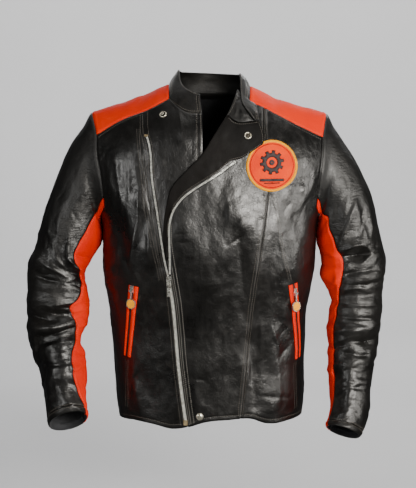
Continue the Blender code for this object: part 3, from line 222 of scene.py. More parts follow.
# Large soft folds, as a line seen from the front or back, its reach across and its height (a trough is
# negative). The front ones are where the leather breaks at the waist, the elbows and beside the seams.
# Columns: x0, z0, x1, z1, reach, height.
BODY_FOLDS_FRONT = [
    (-0.137, -0.180, -0.155, -0.300, 0.016, 0.0040),
    (-0.118, -0.250, -0.114, -0.310, 0.014, 0.0030),
    (-0.170, -0.250, -0.160, -0.300, 0.016, -0.0040),
    (-0.130, -0.525, -0.112, -0.585, 0.018, -0.0030),
    (0.060, -0.260, 0.062, -0.390, 0.020, -0.0040),
    (0.035, -0.190, 0.080, -0.250, 0.026, 0.0035),
    (0.083, -0.460, 0.088, -0.580, 0.014, -0.0040),
    (0.105, -0.430, 0.125, -0.500, 0.016, 0.0040),
    (-0.180, -0.110, -0.165, -0.210, 0.018, 0.0030),
]
BODY_FOLDS_BACK = [
    (-0.120, -0.130, -0.150, -0.330, 0.022, 0.0040),
    (0.115, -0.130, 0.150, -0.320, 0.022, 0.0040),
    (-0.130, -0.400, 0.120, -0.385, 0.022, -0.0040),
    (-0.090, -0.440, 0.140, -0.450, 0.020, 0.0035),
]
SLEEVE_FOLDS_RIGHT = [
    (-0.355, -0.385, -0.262, -0.372, 0.014, 0.0060),
    (-0.352, -0.418, -0.262, -0.408, 0.012, -0.0080),
    (-0.270, -0.290, -0.262, -0.350, 0.014, 0.0060),
    (-0.350, -0.462, -0.262, -0.446, 0.012, -0.0060),
    (-0.345, -0.440, -0.270, -0.430, 0.012, 0.0040),
    (-0.330, -0.525, -0.250, -0.520, 0.012, -0.0035),
]
SLEEVE_FOLDS_LEFT = [
    (0.258, -0.308, 0.300, -0.288, 0.012, -0.0070),
    (0.300, -0.275, 0.262, -0.285, 0.012, 0.0050),
    (0.338, -0.335, 0.270, -0.345, 0.012, 0.0045),
    (0.335, -0.372, 0.250, -0.376, 0.012, -0.0050),
    (0.330, -0.430, 0.245, -0.440, 0.012, 0.0040),
    (0.322, -0.468, 0.290, -0.460, 0.012, -0.0060),
    (0.318, -0.520, 0.250, -0.530, 0.012, -0.0035),
]

# Numbers of grid steps between the corners of the seams: fine steps for each step of the solids.
FINE = 8
SIDE_STEPS = 12 * FINE
ARM_STEPS = 7 * FINE
YOKE_STEPS = 4 * FINE
RIGHT_SIDE_STEPS = 8 * FINE
RIGHT_INNER_YOKE_STEPS = 3 * FINE
NECK_RIGHT_STEPS = 4 * FINE
LEFT_YOKE_STEPS = 3 * FINE
NECK_LEFT_STEPS = 4 * FINE
LEFT_SIDE_STEPS = 7 * FINE
NECK_BACK_STEPS = 6 * FINE
STRIP_STEPS = 2 * FINE
SLEEVE_STEPS = 250
LAPEL_STEPS = 15 * 7
COLLAR_STEPS = 22
COLLAR_END_STEPS = 4 * FINE  # beyond the yoke, to the collar's left end

# Creases in the leather seen from the front: a line, the reach of its steep and easy sides, and its height.
# The steep side lies to the right of the direction from the first point to the second.
# Columns: x0, z0, x1, z1, steep, easy, height. A negative height is a valley.
FRONT_CREASES = [
    (-0.1333, -0.1741, -0.1338, -0.2218, 0.0050, 0.0090, 0.0022),
    (-0.1338, -0.2218, -0.1511, -0.3033, 0.0050, 0.0100, 0.0028),
    (-0.1160, -0.2440, -0.1145, -0.3052, 0.0040, 0.0080, 0.0020),
    (-0.1784, -0.0947, -0.1654, -0.1886, 0.0070, 0.0110, 0.0018),
    (-0.1533, -0.0977, -0.1499, -0.1879, 0.0060, 0.0090, 0.0014),
    (-0.0555, -0.0286, -0.0534, -0.0670, 0.0040, 0.0060, 0.0012),
    (-0.1363, -0.5212, -0.1495, -0.5409, 0.0035, 0.0060, -0.0016),
    (-0.1495, -0.5409, -0.1580, -0.5784, 0.0035, 0.0060, -0.0018),
    (0.0345, -0.1859, 0.0345, -0.2274, 0.0080, 0.0120, 0.0014),
    (0.0852, -0.2090, 0.0855, -0.2698, 0.0080, 0.0100, 0.0016),
    (0.0553, -0.2522, 0.0632, -0.3578, 0.0060, 0.0090, -0.0020),
    (0.0403, -0.2692, 0.0609, -0.2542, 0.0030, 0.0050, -0.0014),
    (-0.0593, -0.2504, -0.0442, -0.2502, 0.0022, 0.0030, -0.0012),
    (-0.0556, -0.2674, -0.0405, -0.2654, 0.0022, 0.0030, -0.0010),
    (-0.0447, -0.4501, -0.0314, -0.4519, 0.0022, 0.0030, -0.0010),
    (-0.0239, -0.5292, -0.0087, -0.5311, 0.0022, 0.0030, -0.0010),
    (0.0973, -0.4189, 0.0975, -0.4673, 0.0035, 0.0060, 0.0016),
    (0.1153, -0.4277, 0.1351, -0.4781, 0.0040, 0.0070, 0.0020),
    (0.1352, -0.4898, 0.1490, -0.4779, 0.0030, 0.0050, -0.0014),
    (0.0789, -0.4646, 0.0850, -0.5717, 0.0050, 0.0070, -0.0020),
    (0.0985, -0.5646, 0.1516, -0.5746, 0.0040, 0.0060, -0.0014),
    (0.1511, -0.1125, 0.1555, -0.1882, 0.0060, 0.0100, 0.0014),
    (0.1800, -0.1227, 0.1769, -0.1892, 0.0060, 0.0100, 0.0016),
    (0.1245, -0.1930, 0.1306, -0.2300, 0.0050, 0.0080, 0.0010),
    (-0.1900, -0.3600, -0.1700, -0.4300, 0.0060, 0.0100, 0.0016),
    (-0.1250, -0.3600, -0.1180, -0.4600, 0.0060, 0.0100, -0.0014),
    (0.1300, -0.3700, 0.1180, -0.4150, 0.0050, 0.0080, 0.0014),
]
# Fields of small creases laid at random: their area, number, direction in degrees and its spread, their
# half-length, reach and height.
# Columns: x0, x1, z0, z1, count, turn, spread, half-length, reach, height.
FRONT_FIELDS = [
    (0.110, 0.185, -0.500, -0.360, 16, 75, 35, 0.020, 0.0034, -0.0010),
    (0.095, 0.185, -0.600, -0.380, 10, 80, 30, 0.035, 0.0080, 0.0013),
    (0.000, 0.095, -0.560, -0.180, 10, 84, 24, 0.050, 0.0140, 0.0013),
    (0.010, 0.120, -0.580, -0.160, 12, 60, 60, 0.026, 0.0070, -0.0006),
    (-0.185, -0.095, -0.600, -0.300, 10, 95, 20, 0.045, 0.0095, 0.0012),
    (-0.185, -0.095, -0.600, -0.200, 10, 95, 40, 0.024, 0.0050, -0.0006),
    (0.110, 0.195, -0.300, -0.120, 10, 82, 20, 0.040, 0.0085, 0.0012),
    (0.120, 0.195, -0.360, -0.200, 12, 80, 35, 0.018, 0.0036, -0.0008),
    (-0.195, -0.110, -0.270, -0.100, 9, 96, 16, 0.040, 0.0085, 0.0012),
    (-0.110, -0.020, -0.220, -0.060, 6, 92, 30, 0.035, 0.0110, 0.0007),
    (0.000, 0.060, -0.560, -0.300, 6, 25, 20, 0.024, 0.0080, 0.0009),
]
BACK_FIELDS = [
    (-0.170, 0.170, -0.430, -0.270, 18, 5, 14, 0.065, 0.0100, 0.0028),
    (-0.180, 0.180, -0.440, -0.260, 22, 0, 25, 0.032, 0.0046, -0.0016),
    (-0.190, -0.110, -0.280, -0.100, 12, 65, 15, 0.055, 0.0090, 0.0024),
    (0.110, 0.190, -0.280, -0.100, 12, 115, 15, 0.055, 0.0090, 0.0024),
    (-0.160, 0.160, -0.600, -0.440, 18, 85, 20, 0.045, 0.0090, 0.0018),
    (-0.160, 0.160, -0.260, -0.070, 14, 88, 18, 0.045, 0.0100, 0.0016),
]
# The same on the sleeves: the distance from the shoulder, the place round the sleeve as a share that starts
# under the arm and goes round by the front, and the direction, 0 across the sleeve.
SLEEVE_FIELDS = [
    (0.02, 0.16, 0.10, 0.90, 16, 60, 25, 0.045, 0.0075, 0.0016),
    (0.03, 0.20, 0.10, 0.90, 20, 40, 40, 0.022, 0.0034, -0.0011),
    (0.14, 0.28, 0.05, 0.95, 20, 25, 30, 0.036, 0.0060, 0.0019),
    (0.16, 0.30, 0.05, 0.95, 26, 15, 30, 0.024, 0.0034, -0.0014),
    (0.22, 0.42, 0.00, 1.00, 46, 2, 12, 0.040, 0.0044, 0.0019),
    (0.22, 0.42, 0.00, 1.00, 60, 0, 14, 0.026, 0.0028, -0.0016),
    (0.38, 0.56, 0.00, 1.00, 34, 0, 20, 0.032, 0.0042, 0.0014),
    (0.38, 0.57, 0.00, 1.00, 50, 0, 26, 0.020, 0.0026, -0.0012),
]
# Lines where a seam laps one layer over the next, each with the side on which the leather steps down: 1 is
# the right of the line's direction and -1 its left. The stitches lie on the other side.
LAPPED_SEAMS = [
    (-1, [
        (-0.1302, -0.0543), (-0.1277, -0.0825), (-0.1192, -0.1568), (-0.1169, -0.1869), (-0.1010, -0.2750),
        (-0.0880, -0.3390),
    ]),
    (1, [(0.1171, -0.1775), (0.1197, -0.1908), (0.1263, -0.2463), (0.1394, -0.3085), (0.1496, -0.3463)]),
    (1, [(0.1614, -0.5077), (0.1621, -0.5990)]),
    (-1, [(-0.1540, -0.5000), (-0.1560, -0.5950)]),
]
SLEEVE_CREASES_RIGHT = [
    (-0.2708, -0.2681, -0.2740, -0.3009, 0.0040, 0.0090, 0.0053),
    (-0.2740, -0.3009, -0.2665, -0.3163, 0.0040, 0.0090, 0.0053),
    (-0.2665, -0.3163, -0.2491, -0.3338, 0.0040, 0.0090, 0.0053),
    (-0.2491, -0.3338, -0.2496, -0.3881, 0.0040, 0.0080, 0.0037),
    (-0.2991, -0.3940, -0.2496, -0.3881, 0.0040, 0.0080, 0.0045),
    (-0.3050, -0.4037, -0.2991, -0.3940, 0.0040, 0.0070, 0.0030),
    (-0.3458, -0.4566, -0.2575, -0.4353, 0.0035, 0.0060, -0.0060),
    (-0.3356, -0.4702, -0.3267, -0.5231, 0.0035, 0.0060, -0.0033),
    (-0.3157, -0.4975, -0.3225, -0.5758, 0.0040, 0.0060, -0.0033),
    (-0.2715, -0.5651, -0.2431, -0.5846, 0.0035, 0.0060, 0.0027),
    (-0.3350, -0.3400, -0.2900, -0.3480, 0.0040, 0.0070, -0.0033),
    (-0.3450, -0.4150, -0.2900, -0.4230, 0.0040, 0.0070, -0.0039),
    (-0.3300, -0.5050, -0.2700, -0.5000, 0.0035, 0.0060, -0.0027),
]
SLEEVE_CREASES_LEFT = [
    (0.2786, -0.1969, 0.2489, -0.2782, 0.0060, 0.0100, 0.0048),
    (0.3014, -0.2685, 0.2786, -0.1969, 0.0060, 0.0100, 0.0045),
    (0.2660, -0.2870, 0.2819, -0.2785, 0.0030, 0.0080, 0.0048),
    (0.2819, -0.2785, 0.3010, -0.2835, 0.0030, 0.0080, 0.0060),
    (0.3010, -0.2835, 0.3105, -0.2950, 0.0030, 0.0080, 0.0060),
    (0.3105, -0.2950, 0.2970, -0.3085, 0.0030, 0.0070, 0.0045),
    (0.2560, -0.2990, 0.3000, -0.2950, 0.0050, 0.0050, -0.0075),
    (0.2950, -0.2120, 0.2900, -0.2560, 0.0050, 0.0050, -0.0050),
    (0.3080, -0.2250, 0.3080, -0.2640, 0.0040, 0.0080, 0.0040),
    (0.2806, -0.4605, 0.3227, -0.4605, 0.0030, 0.0050, -0.0056),
    (0.2500, -0.3350, 0.3150, -0.3250, 0.0035, 0.0060, -0.0035),
    (0.2600, -0.3560, 0.3300, -0.3500, 0.0035, 0.0060, -0.0032),
    (0.2450, -0.3900, 0.3250, -0.3950, 0.0035, 0.0060, -0.0032),
    (0.2500, -0.4150, 0.3250, -0.4200, 0.0035, 0.0060, 0.0029),
    (0.2450, -0.4800, 0.3100, -0.4880, 0.0035, 0.0060, -0.0029),
    (0.2500, -0.5400, 0.3000, -0.5500, 0.0035, 0.0060, -0.0026),
]
# The same on the orange strips.
STRIP_CREASES_RIGHT = [
    (-0.2640, -0.2950, -0.2400, -0.3060, 0.0035, 0.0070, -0.0054),
    (-0.2734, -0.4089, -0.2376, -0.4030, 0.0035, 0.0080, 0.0046),
    (-0.2715, -0.4192, -0.2401, -0.4271, 0.0030, 0.0060, -0.0041),
    (-0.2675, -0.4330, -0.2381, -0.4389, 0.0040, 0.0080, 0.0041),
    (-0.2636, -0.5160, -0.2401, -0.5061, 0.0040, 0.0090, 0.0043),
    (-0.2530, -0.3500, -0.2400, -0.3800, 0.0040, 0.0080, 0.0027),
]
STRIP_CREASES_LEFT = [
    (0.2264, -0.2950, 0.2591, -0.3086, 0.0040, 0.0090, 0.0049),
    (0.2146, -0.3244, 0.2577, -0.3205, 0.0035, 0.0080, -0.0054),
    (0.2421, -0.3224, 0.2479, -0.3639, 0.0040, 0.0070, 0.0046),
    (0.2200, -0.3420, 0.2440, -0.3560, 0.0050, 0.0090, 0.0027),
    (0.2303, -0.3935, 0.2519, -0.3935, 0.0035, 0.0070, -0.0038),
    (0.2303, -0.4330, 0.2500, -0.4330, 0.0035, 0.0080, -0.0035),
    (0.2280, -0.4765, 0.2480, -0.4745, 0.0035, 0.0070, -0.0041),
    (0.2280, -0.5250, 0.2440, -0.5230, 0.0035, 0.0070, 0.0027),
]
SLEEVES = {  # side, sections, folds, creases, and creases of the strip
    "right": (-1, SLEEVE_RIGHT, SLEEVE_FOLDS_RIGHT, SLEEVE_CREASES_RIGHT, STRIP_CREASES_RIGHT),
    "left": (1, SLEEVE_LEFT, SLEEVE_FOLDS_LEFT, SLEEVE_CREASES_LEFT, STRIP_CREASES_LEFT),
}

# ---------------------------------------------------------------- sizes of the scene's own detail

PANELS = {  # seams and free edges (left, right, bottom, top), and the rows and columns of the leather
    "front_right_side": ("lt", "b", 230, 66),
    "front_right_inner": ("t", "rb", 190, 44),
    "front_left_centre": ("rt", "lb", 250, 76),
    "front_left_side": ("lrt", "b", 230, 52),
    "back_panel": ("lrt", "b", 171, 168),
}
# Soft unevenness of a surface: height, size of its cells and seed of each wave.
TORSO_WAVES = [
    (0.0018, (0.050, 0.060, 0.110), 3),
    (0.0013, (0.024, 0.028, 0.040), 5),
    (0.0004, (0.010, 0.012, 0.014), 6),
]
YOKE_WAVES = [(0.0011, (0.014, 0.060, 0.060), 61), (0.0013, 0.034, 62)]
LAPEL_WAVES = [(0.0007, (0.020, 1, 0.030), 61), (0.0003, (0.008, 1, 0.010), 62)]
COLLAR_WAVES = [(0.0011, (0.030, 0.016, 1), 71), (0.0005, (0.012, 0.007, 1), 72)]
CALM_EDGE = 0.022  # over this distance the creases come back round a fitting
SEAM_STEP = 0.0009  # height of the step at a lapped seam
SEAM_RAMP = 0.0036  # width of that step
FRONT_GAP = 0.0006  # between the closed zip and the left front's edge
YOKE_NECK = 0.078  # from the middle to the neck end of a yoke's ridge
ROLL_RADIUS = 0.0020  # of the lapel where it rolls over
ZIP_BOX_TOP = -0.6160
ZIP_STOP_FOOT = -0.0700
NEAR_EDGE = (0.0006, 0.0012, 0.0020, 0.0030)  # extra rows of points at these distances from an edge
TAPE_WALL = 0.0008
WELT_WALL = 0.0012
BADGE_RIBS = 240  # of the border's thread
MOTIF_SECTION = [(0.0, 0.0), (0.06, 0.7), (0.5, 1.0), (0.94, 0.7), (1.0, 0.0)]  # shares inward and upward
# The sunk steps of each profile take near-black steel: painted shade in the recesses of the snaps.
SNAPS = {  # sunk steps of each profile, then its (radius, height) in millimetres from the face to the back
    "snap_ring": (
        range(0, 4),
        (0, 0.9), (1.2, 0.9), (1.8, 0.6), (3.6, 0.6), (4.2, 0.9), (4.5, 1.7), (5.2, 2.3), (6.0, 2.2),
        (6.8, 1.6), (7.2, 0.9), (7.2, 0.2), (0, 0.2),
    ),
    "snap_stud": (
        range(3, 7),
        (0, 4.2), (1.5, 4.1), (2.1, 3.7), (1.9, 2.4), (2.1, 0.8), (4.0, 0.6), (4.6, 1.0), (5.0, 1.7),
        (5.7, 2.1), (6.4, 1.8), (7.1, 1.1), (7.2, 0.2), (0, 0.2),
    ),
    "snap_hem": (
        range(0),
        (0, 2.9), (1.8, 2.8), (3.6, 2.5), (4.9, 2.0), (5.4, 1.6), (5.8, 1.6), (6.4, 1.7), (6.9, 1.3),
        (7.2, 0.7), (7.2, 0.2), (0, 0.2),
    ),
}
# Rows of stitches: pieces, the edges that the stitches follow, and their distances from them.
BLACK_ROWS = [
    ("front_right_side front_right_inner front_left_centre front_left_side back_panel", "b", (0.0085,)),
    ("front_right_side", "t", (0.0022, 0.0075)),
    ("front_left_side", "t", (0.0022, 0.0075)),
    ("front_left_centre", "r", (0.0022, 0.0075)),
    ("front_left_side", "l", (0.0024,)),
    ("front_right_inner", "l", (0.0052,)),
    ("front_right_side", "r", (0.0052, 0.0100)),
    ("back_panel", "t", (0.0022, 0.0075)),
    ("sleeve_right sleeve_left", "t", (0.0095, 0.0160)),
    ("collar", "t", (0.0025,)),
    ("collar", "b", (0.0125, 0.0170)),
    ("collar", "l", (0.0030,)),
    ("collar", "r", (0.0030, 0.0075)),
    ("front_right_inner", "r", (0.0030, 0.0105)),
    ("collar_facing", "br", (0.0030,)),
    ("lapel", "rt", (0.0030,)),
]
ORANGE_ROWS = [
    ("sleeve_strip_right sleeve_strip_left", "t", (0.0100,)),
    ("sleeve_strip_right sleeve_strip_left", "lr", (0.0022,)),
]
ZIP_ROWS = [("front_left_centre", "l", (0.0022, 0.0060, 0.0120))]
FLOOR_LEVEL = -0.86
FLOOR_FRONT = -0.40  # where the near floor and the sweep behind it meet
CAMERA_LIFT = radians(7.0)
CAMERA_DISTANCE = 3.0
SENSOR_HEIGHT = 24  # millimetres
LAMPS = [  # name, place, size, watts, colour
    ("key", (1.15, -2.10, 0.26), (1.4, 0.6), 74, (1.0, 0.98, 0.95)),
    ("side", (2.05, -1.05, -0.22), (0.5, 1.1), 19, (1.0, 0.985, 0.96)),
    ("fill", (-1.55, -1.75, 0.12), (0.35, 1.0), 13, (0.97, 0.985, 1.0)),
    ("top", (0.30, -0.30, 1.80), (1.4, 0.7), 9, (1.0, 1.0, 1.0)),
    ("back_left", (0.80, 1.85, 1.05), (1.3, 0.6), 20, (1.0, 1.0, 1.0)),
    ("back_right", (-0.80, 1.90, 0.80), (0.6, 0.6), 6, (1.0, 1.0, 1.0)),
    ("paper_lamp", (0.0, 1.2, 1.9), (3.0, 0.6), 64, (1.0, 1.0, 1.0)),
]
# Fittings that keep the plain surface round them: a place on the front and the radius left plain.
CALM = [
    (STUD_AT[0], STUD_AT[1], 0.010),
    (LAPEL_RING_AT[0], LAPEL_RING_AT[1], 0.010),
    (HEM_SNAP_AT[0], HEM_SNAP_AT[1], 0.010),
    (SLIDER_AT[0], SLIDER_AT[1] - 0.006, 0.020),
    (-0.1465, -0.3600, 0.014),
    (0.1610, -0.3680, 0.014),
    (ZIP_LINE[0][0], -0.6140, 0.008),
    (ZIP_LINE[-1][0], ZIP_LINE[-1][1], 0.006),
]

# ---------------------------------------------------------------- curves and the torso's form

def smooth(at, knots, values):
    """A smooth curve through the knots, read at the given places."""
    knots, values, at = np.asarray(knots, float), np.asarray(values, float), np.asarray(at, float)
    slopes = np.gradient(values, knots, axis=0)
    i = np.clip(np.searchsorted(knots, at, side="right") - 1, 0, len(knots) - 2)
    width = knots[i + 1] - knots[i]
    t = np.clip((at - knots[i]) / width, 0, 1)
    if values.ndim > 1:
        t, width = t[..., None], width[..., None]
    start = (1 + 2 * t) * (1 - t) ** 2 * values[i] + t * (1 - t) ** 2 * width * slopes[i]
    return start + t * t * (3 - 2 * t) * values[i + 1] + t * t * (t - 1) * width * slopes[i + 1]

def run_length(points):
    """Distance of every point from the first one, along the run."""
    return np.concatenate([[0], np.cumsum(np.linalg.norm(np.diff(points, axis=0), axis=1))])

def along(points, steps):
    """Evenly spaced stations on a smooth curve through the points."""
    points = np.asarray(points, float)
    if len(points) == 2:
        return points[0] + np.linspace(0, 1, steps + 1)[:, None] * (points[1] - points[0])
    length = run_length(points)
    return smooth(np.linspace(0, length[-1], steps + 1), length, points)

def joined(*runs):
    return np.concatenate([runs[0]] + [run[1:] for run in runs[1:]])

def unit(v):
    return v / np.maximum(np.linalg.norm(v, axis=-1, keepdims=True), 1e-12)

def soft_step(t):
    t = np.clip(t, 0, 1)
    return t * t * (3 - 2 * t)

def on_curve(x, curve):
    """(x, height) rows on a curve of (x, height) rows, at the given x."""
    curve = np.asarray(curve)
    return np.stack([x, smooth(x, curve[:, 0], curve[:, 1])], axis=-1)

def hem_run(x0, x1, steps):
    return on_curve(np.linspace(x0, x1, steps + 1), HEM)

def ridge(x):
    return smooth(x, RIDGE[:, 0], RIDGE[:, 1])

def reaches(z, left, back):
    """Half-width and depth of the torso's oval section at a height, on the sides asked for."""
    row = smooth(z, BODY[:, 0], BODY[:, 1:])
    return np.where(left, row[..., 1], row[..., 0]), np.where(back, row[..., 3], row[..., 2])

def oval_depth(x, z, back):
    """Depth of the oval section at a place seen from the front or back."""
    half, depth = reaches(z, x >= 0, back)
    across = np.clip(np.abs(x) / half, 0, 1)
    return depth * (1 - across**SQUARENESS) ** (1 / SQUARENESS)

def shoulder_share(x, z):
    """Share of the depth that is left where the shoulder ridge rounds into the chest and the back."""
    drop = np.clip((ridge(x) - z) / SHOULDER_ROUND, 0, 1)
    return np.sqrt(1 - (1 - drop) ** 2)

def angle_of(points, back=False):
    """(angle, height) rows for (x, height) rows: 0 at the front, 90 on the left side, 180 behind."""
    x, z = np.asarray(points, float).T
    turn = np.degrees(np.arctan2(x, oval_depth(x, z, back)))
    return np.stack([np.where(back, 180 - turn, turn), z], axis=1)

def plain_torso(angle, z):
    """Points on the torso without folds, at places given by angle and height."""
    sine, cosine = np.sin(np.radians(angle)), np.cos(np.radians(angle))
    half, depth = reaches(z, sine >= 0, cosine < 0)
    inverse = np.abs(sine / half) ** SQUARENESS + np.abs(cosine / depth) ** SQUARENESS
    reach = inverse ** (-1 / SQUARENESS)
    x = reach * sine
    return np.stack([x, -reach * cosine * shoulder_share(x, z), z + 0 * x], axis=-1)

# ---------------------------------------------------------------- relief of the leather

def beside_line(x, z, x0, z0, x1, z1):
    """Places beside a line: share of the way along it, distance to its right, past its ends and from it."""
    dx, dz = x1 - x0, z1 - z0
    run = np.hypot(dx, dz)
    share = ((x - x0) * dx + (z - z0) * dz) / run**2
    near = np.clip(share, 0, 1)
    across = ((x - x0) * dz - (z - z0) * dx) / run
    return near, across, (share - near) * run, np.hypot(x - x0 - near * dx, z - z0 - near * dz)

def fold_height(x, z, folds):
    """Height of the soft ridges and troughs at places seen from the front or back."""
    total = np.zeros(np.shape(x))
    for *line, reach, height in folds:
        near, _, _, away = beside_line(x, z, *line)
        total += height * np.exp(-((away / reach) ** 2)) * (0.55 + 0.45 * np.sin(pi * near))
    return total

def crease_height(x, z, creases):
    """Height of sharp-topped creases, each steeper on one side."""
    total = np.zeros(np.shape(x))
    for *line, steep, easy, height in creases:
        near, across, beyond, _ = beside_line(x, z, *line)
        reach = np.where(across > 0, steep, easy)
        away = np.sqrt((across / reach) ** 2 + (beyond / (1.5 * easy)) ** 2 + 0.06) - 0.245
        total += height * np.exp(-away * 1.35) * (0.45 + 0.55 * np.sin(pi * near))
    return total

def line_offset(x, z, line):
    """Signed distance to the right of a line seen from the front, and how far a place is beyond its ends."""
    best = np.full(np.shape(x), np.inf)
    signed, past = np.zeros(np.shape(x)), np.zeros(np.shape(x))
    for start, end in zip(line[:-1], line[1:]):
        _, across, beyond, away = beside_line(x, z, *start, *end)
        closer = away < best
        best = np.where(closer, away, best)
        signed = np.where(closer, across, signed)
        past = np.where(closer, np.abs(beyond), past)
    return signed, past

def lattice_noise(points, cell, seed):
    """Smooth random values from -1 to 1 at points, on a lattice of cells of the given size."""
    period = 32
    table = np.random.default_rng(seed).uniform(-1, 1, (period, period, period))
    place = np.asarray(points) / np.asarray(cell, float)
    base = np.floor(place).astype(int)
    part = soft_step(place - base)
    total = np.zeros(place.shape[:-1])
    for corner in np.ndindex(2, 2, 2):
        weight = np.where(corner, part, 1 - part).prod(axis=-1)
        total += weight * table[tuple(np.moveaxis((base + corner) % period, -1, 0))]
    return total

def waves(points, *rows):
    """Sum of smooth random swellings, as (height, cell, seed) rows."""
    return sum(height * lattice_noise(points, cell, seed) for height, cell, seed in rows)

def scattered_creases(fields, seed):
    """Crease rows laid at random in their fields."""
    pick = np.random.default_rng(seed)
    rows = []
    for x0, x1, z0, z1, count, turn, spread, half, reach, height in fields:
        for _ in range(count):
            cx, cz = pick.uniform(x0, x1), pick.uniform(z0, z1)
            angle = radians(turn + spread * pick.uniform(-1, 1))
            length = half * pick.uniform(0.5, 1.25)
            dx, dz = length * cos(angle), length * sin(angle)
            easy, steep = reach * pick.uniform(1.1, 1.9), reach * pick.uniform(0.7, 1.1)
            rows.append((cx - dx, cz - dz, cx + dx, cz + dz, steep, easy, height * pick.uniform(0.4, 1.2)))
    return rows

def sleeve_field_height(length, girth, share, seed):
    """Creases laid at random round a sleeve. Heights are given for every row and column of its grid."""
    pick = np.random.default_rng(seed)
    total = np.zeros((len(length), len(share)))
    for s0, s1, t0, t1, count, turn, spread, half, reach, height in SLEEVE_FIELDS:
        for _ in range(count):
            at_s, at_t = pick.uniform(s0, s1), pick.uniform(t0, t1)
            lean = radians(np.clip(turn + spread * pick.uniform(-1, 1), -75, 75))
            slope = np.tan(lean * pick.choice([-1, 1]))
            stretch = np.sqrt(1 + slope**2)
            bend = pick.uniform(-4, 4)
            long = half * pick.uniform(0.5, 1.3)
            wide = reach * pick.uniform(0.75, 1.3) * stretch
            tall = height * pick.uniform(0.35, 1.2)
            u = ((share - at_t + 0.5) % 1 - 0.5)[None, :] * girth[:, None] * stretch
            v = length[:, None] - at_s - slope * u / stretch - bend * u**2
            fade = np.clip(1 - (u / long) ** 2, 0, 1) ** 1.5
            skew = np.where(v > 0, wide, wide * 1.7)
            total += tall * fade * np.exp(1 - np.sqrt(1 + 2.2 * (v / skew) ** 2))
    return total

def calm_share(x, z):
    """0 where a fitting sits, 1 away from it."""
    share = np.ones(np.shape(x))
    for cx, cz, radius in CALM:
        share = share * soft_step((np.hypot(x - cx, z - cz) - radius) / CALM_EDGE)
    return share

FRONT_SCATTER = scattered_creases(FRONT_FIELDS, 101)
BACK_SCATTER = scattered_creases(BACK_FIELDS, 102)

def front_relief(x, z):
    """Height of the creases and of the steps at lapped seams, seen from the front."""
    total = crease_height(x, z, FRONT_CREASES) + crease_height(x, z, FRONT_SCATTER)
    for side, line in LAPPED_SEAMS:
        across, past = line_offset(x, z, line)
        across = across * side
        step = soft_step(0.5 + across / SEAM_RAMP) * np.exp(-np.maximum(across, 0) / 0.014)
        total -= SEAM_STEP * step * soft_step(1 - past / 0.006)
    return total

def torso_relief(points):
    """Height of the rumples and creases over the plain torso, at points on it."""
    x, y, z = points[..., 0], points[..., 1], points[..., 2]
    front = soft_step(-y / 0.03)
    total = front * front_relief(x, z) + soft_step(y / 0.03) * crease_height(x, z, BACK_SCATTER)
    low = 0.35 + 0.65 * soft_step((-0.08 - z) / 0.10)
    total = total + low * waves(points, *TORSO_WAVES)
    worn = soft_step(0.5 + 0.9 * lattice_noise(points, 0.070, 11))
    fine = 1 - 2 * np.abs(lattice_noise(points, (0.011, 0.012, 0.015), 7))
    side = soft_step((np.abs(x) - 0.14) / 0.05)
    waist = np.exp(-(((z + 0.36) / 0.10) ** 2))
    buckle = 1 - 2 * np.abs(lattice_noise(points, (0.050, 0.050, 0.018), 19))
    total = total + 0.00035 * fine * worn + 0.0010 * side * waist * buckle
    return total * calm_share(x, z) ** front

def sleeve_relief(grid, share, side):
    """Wrinkles across a sleeve, from its shoulder to its cuff. share gives each column's place round it."""
    length = run_length(grid.mean(axis=1))
    girth = np.linalg.norm(np.diff(grid, axis=1, append=grid[:, :1]), axis=2).sum(axis=1)
    s = np.repeat(length[:, None], len(share), axis=1)
    turn = 2 * pi * share + 0 * s
    ring = np.stack([s, np.cos(turn), np.sin(turn)], axis=-1)
    seed = 30 if side > 0 else 40
    ring[..., 0] += 0.012 * lattice_noise(ring, (0.120, 0.8, 0.8), seed)
    lower = soft_step((s - 0.15) / 0.15)
    broad = 0.0026 * (0.45 + 0.55 * lower) * lattice_noise(ring, (0.045, 0.75, 0.75), seed + 1)
    fine = 0.0005 * lattice_noise(ring, (0.012, 0.20, 0.20), seed + 3)
    creases = sleeve_field_height(length, girth, share, seed + 4)
    return (broad + fine + creases) * soft_step(s / 0.05) * soft_step((length[-1] - s) / 0.03 + 0.35)

def torso(angle, z, out=0.0, lapped=False):
    """Points on the torso's outer face and their directions. A lapped piece lies over the right front."""
    angle, z = np.asarray(angle, float), np.asarray(z, float)
    point = plain_torso(angle, z)
    around = plain_torso(angle + 0.5, z) - plain_torso(angle - 0.5, z)
    upward = plain_torso(angle, z + 0.001) - plain_torso(angle, z - 0.001)
    normal = unit(np.cross(around, upward))
    x, y = point[..., 0], point[..., 1]
    folds = np.where(y < 0, fold_height(x, z, BODY_FOLDS_FRONT), fold_height(x, z, BODY_FOLDS_BACK))
    rise = folds * soft_step(np.abs(y) / 0.03) + torso_relief(point) + out
    if lapped:
        rise = rise + LAP * soft_step((0.05 - x) / 0.055)
    return point + rise[..., None] * normal, normal

def on_front(points, out=0.0, lapped=False):
    """torso() for (x, height) rows on the front."""
    return torso(*angle_of(points).T, out, lapped)

# ---------------------------------------------------------------- seams and grids of the leather

def coons(left, right, bottom, top):
    """Grid between four edges, each a list of stations. Rows run from bottom to top."""
    u = np.linspace(0, 1, len(bottom))[None, :, None]
    v = np.linspace(0, 1, len(left))[:, None, None]
    sides = (1 - u) * left[:, None] + u * right[:, None] + (1 - v) * bottom[None] + v * top[None]
    low = (1 - v) * ((1 - u) * bottom[0] + u * bottom[-1])
    high = v * ((1 - u) * top[0] + u * top[-1])
    return sides - low - high

def beside(line, offset):
    """The line moved sideways on the front, towards +X where it runs upward."""
    line = np.asarray(line, float)
    tangent = unit(np.gradient(line, axis=0))
    return line + offset * np.stack([tangent[:, 1], -tangent[:, 0]], axis=1)

def side_seam(angle, hem):
    z = np.linspace(hem, UNDERARM, SIDE_STEPS + 1)
    return np.stack([np.full(len(z), float(angle)), z], axis=1)

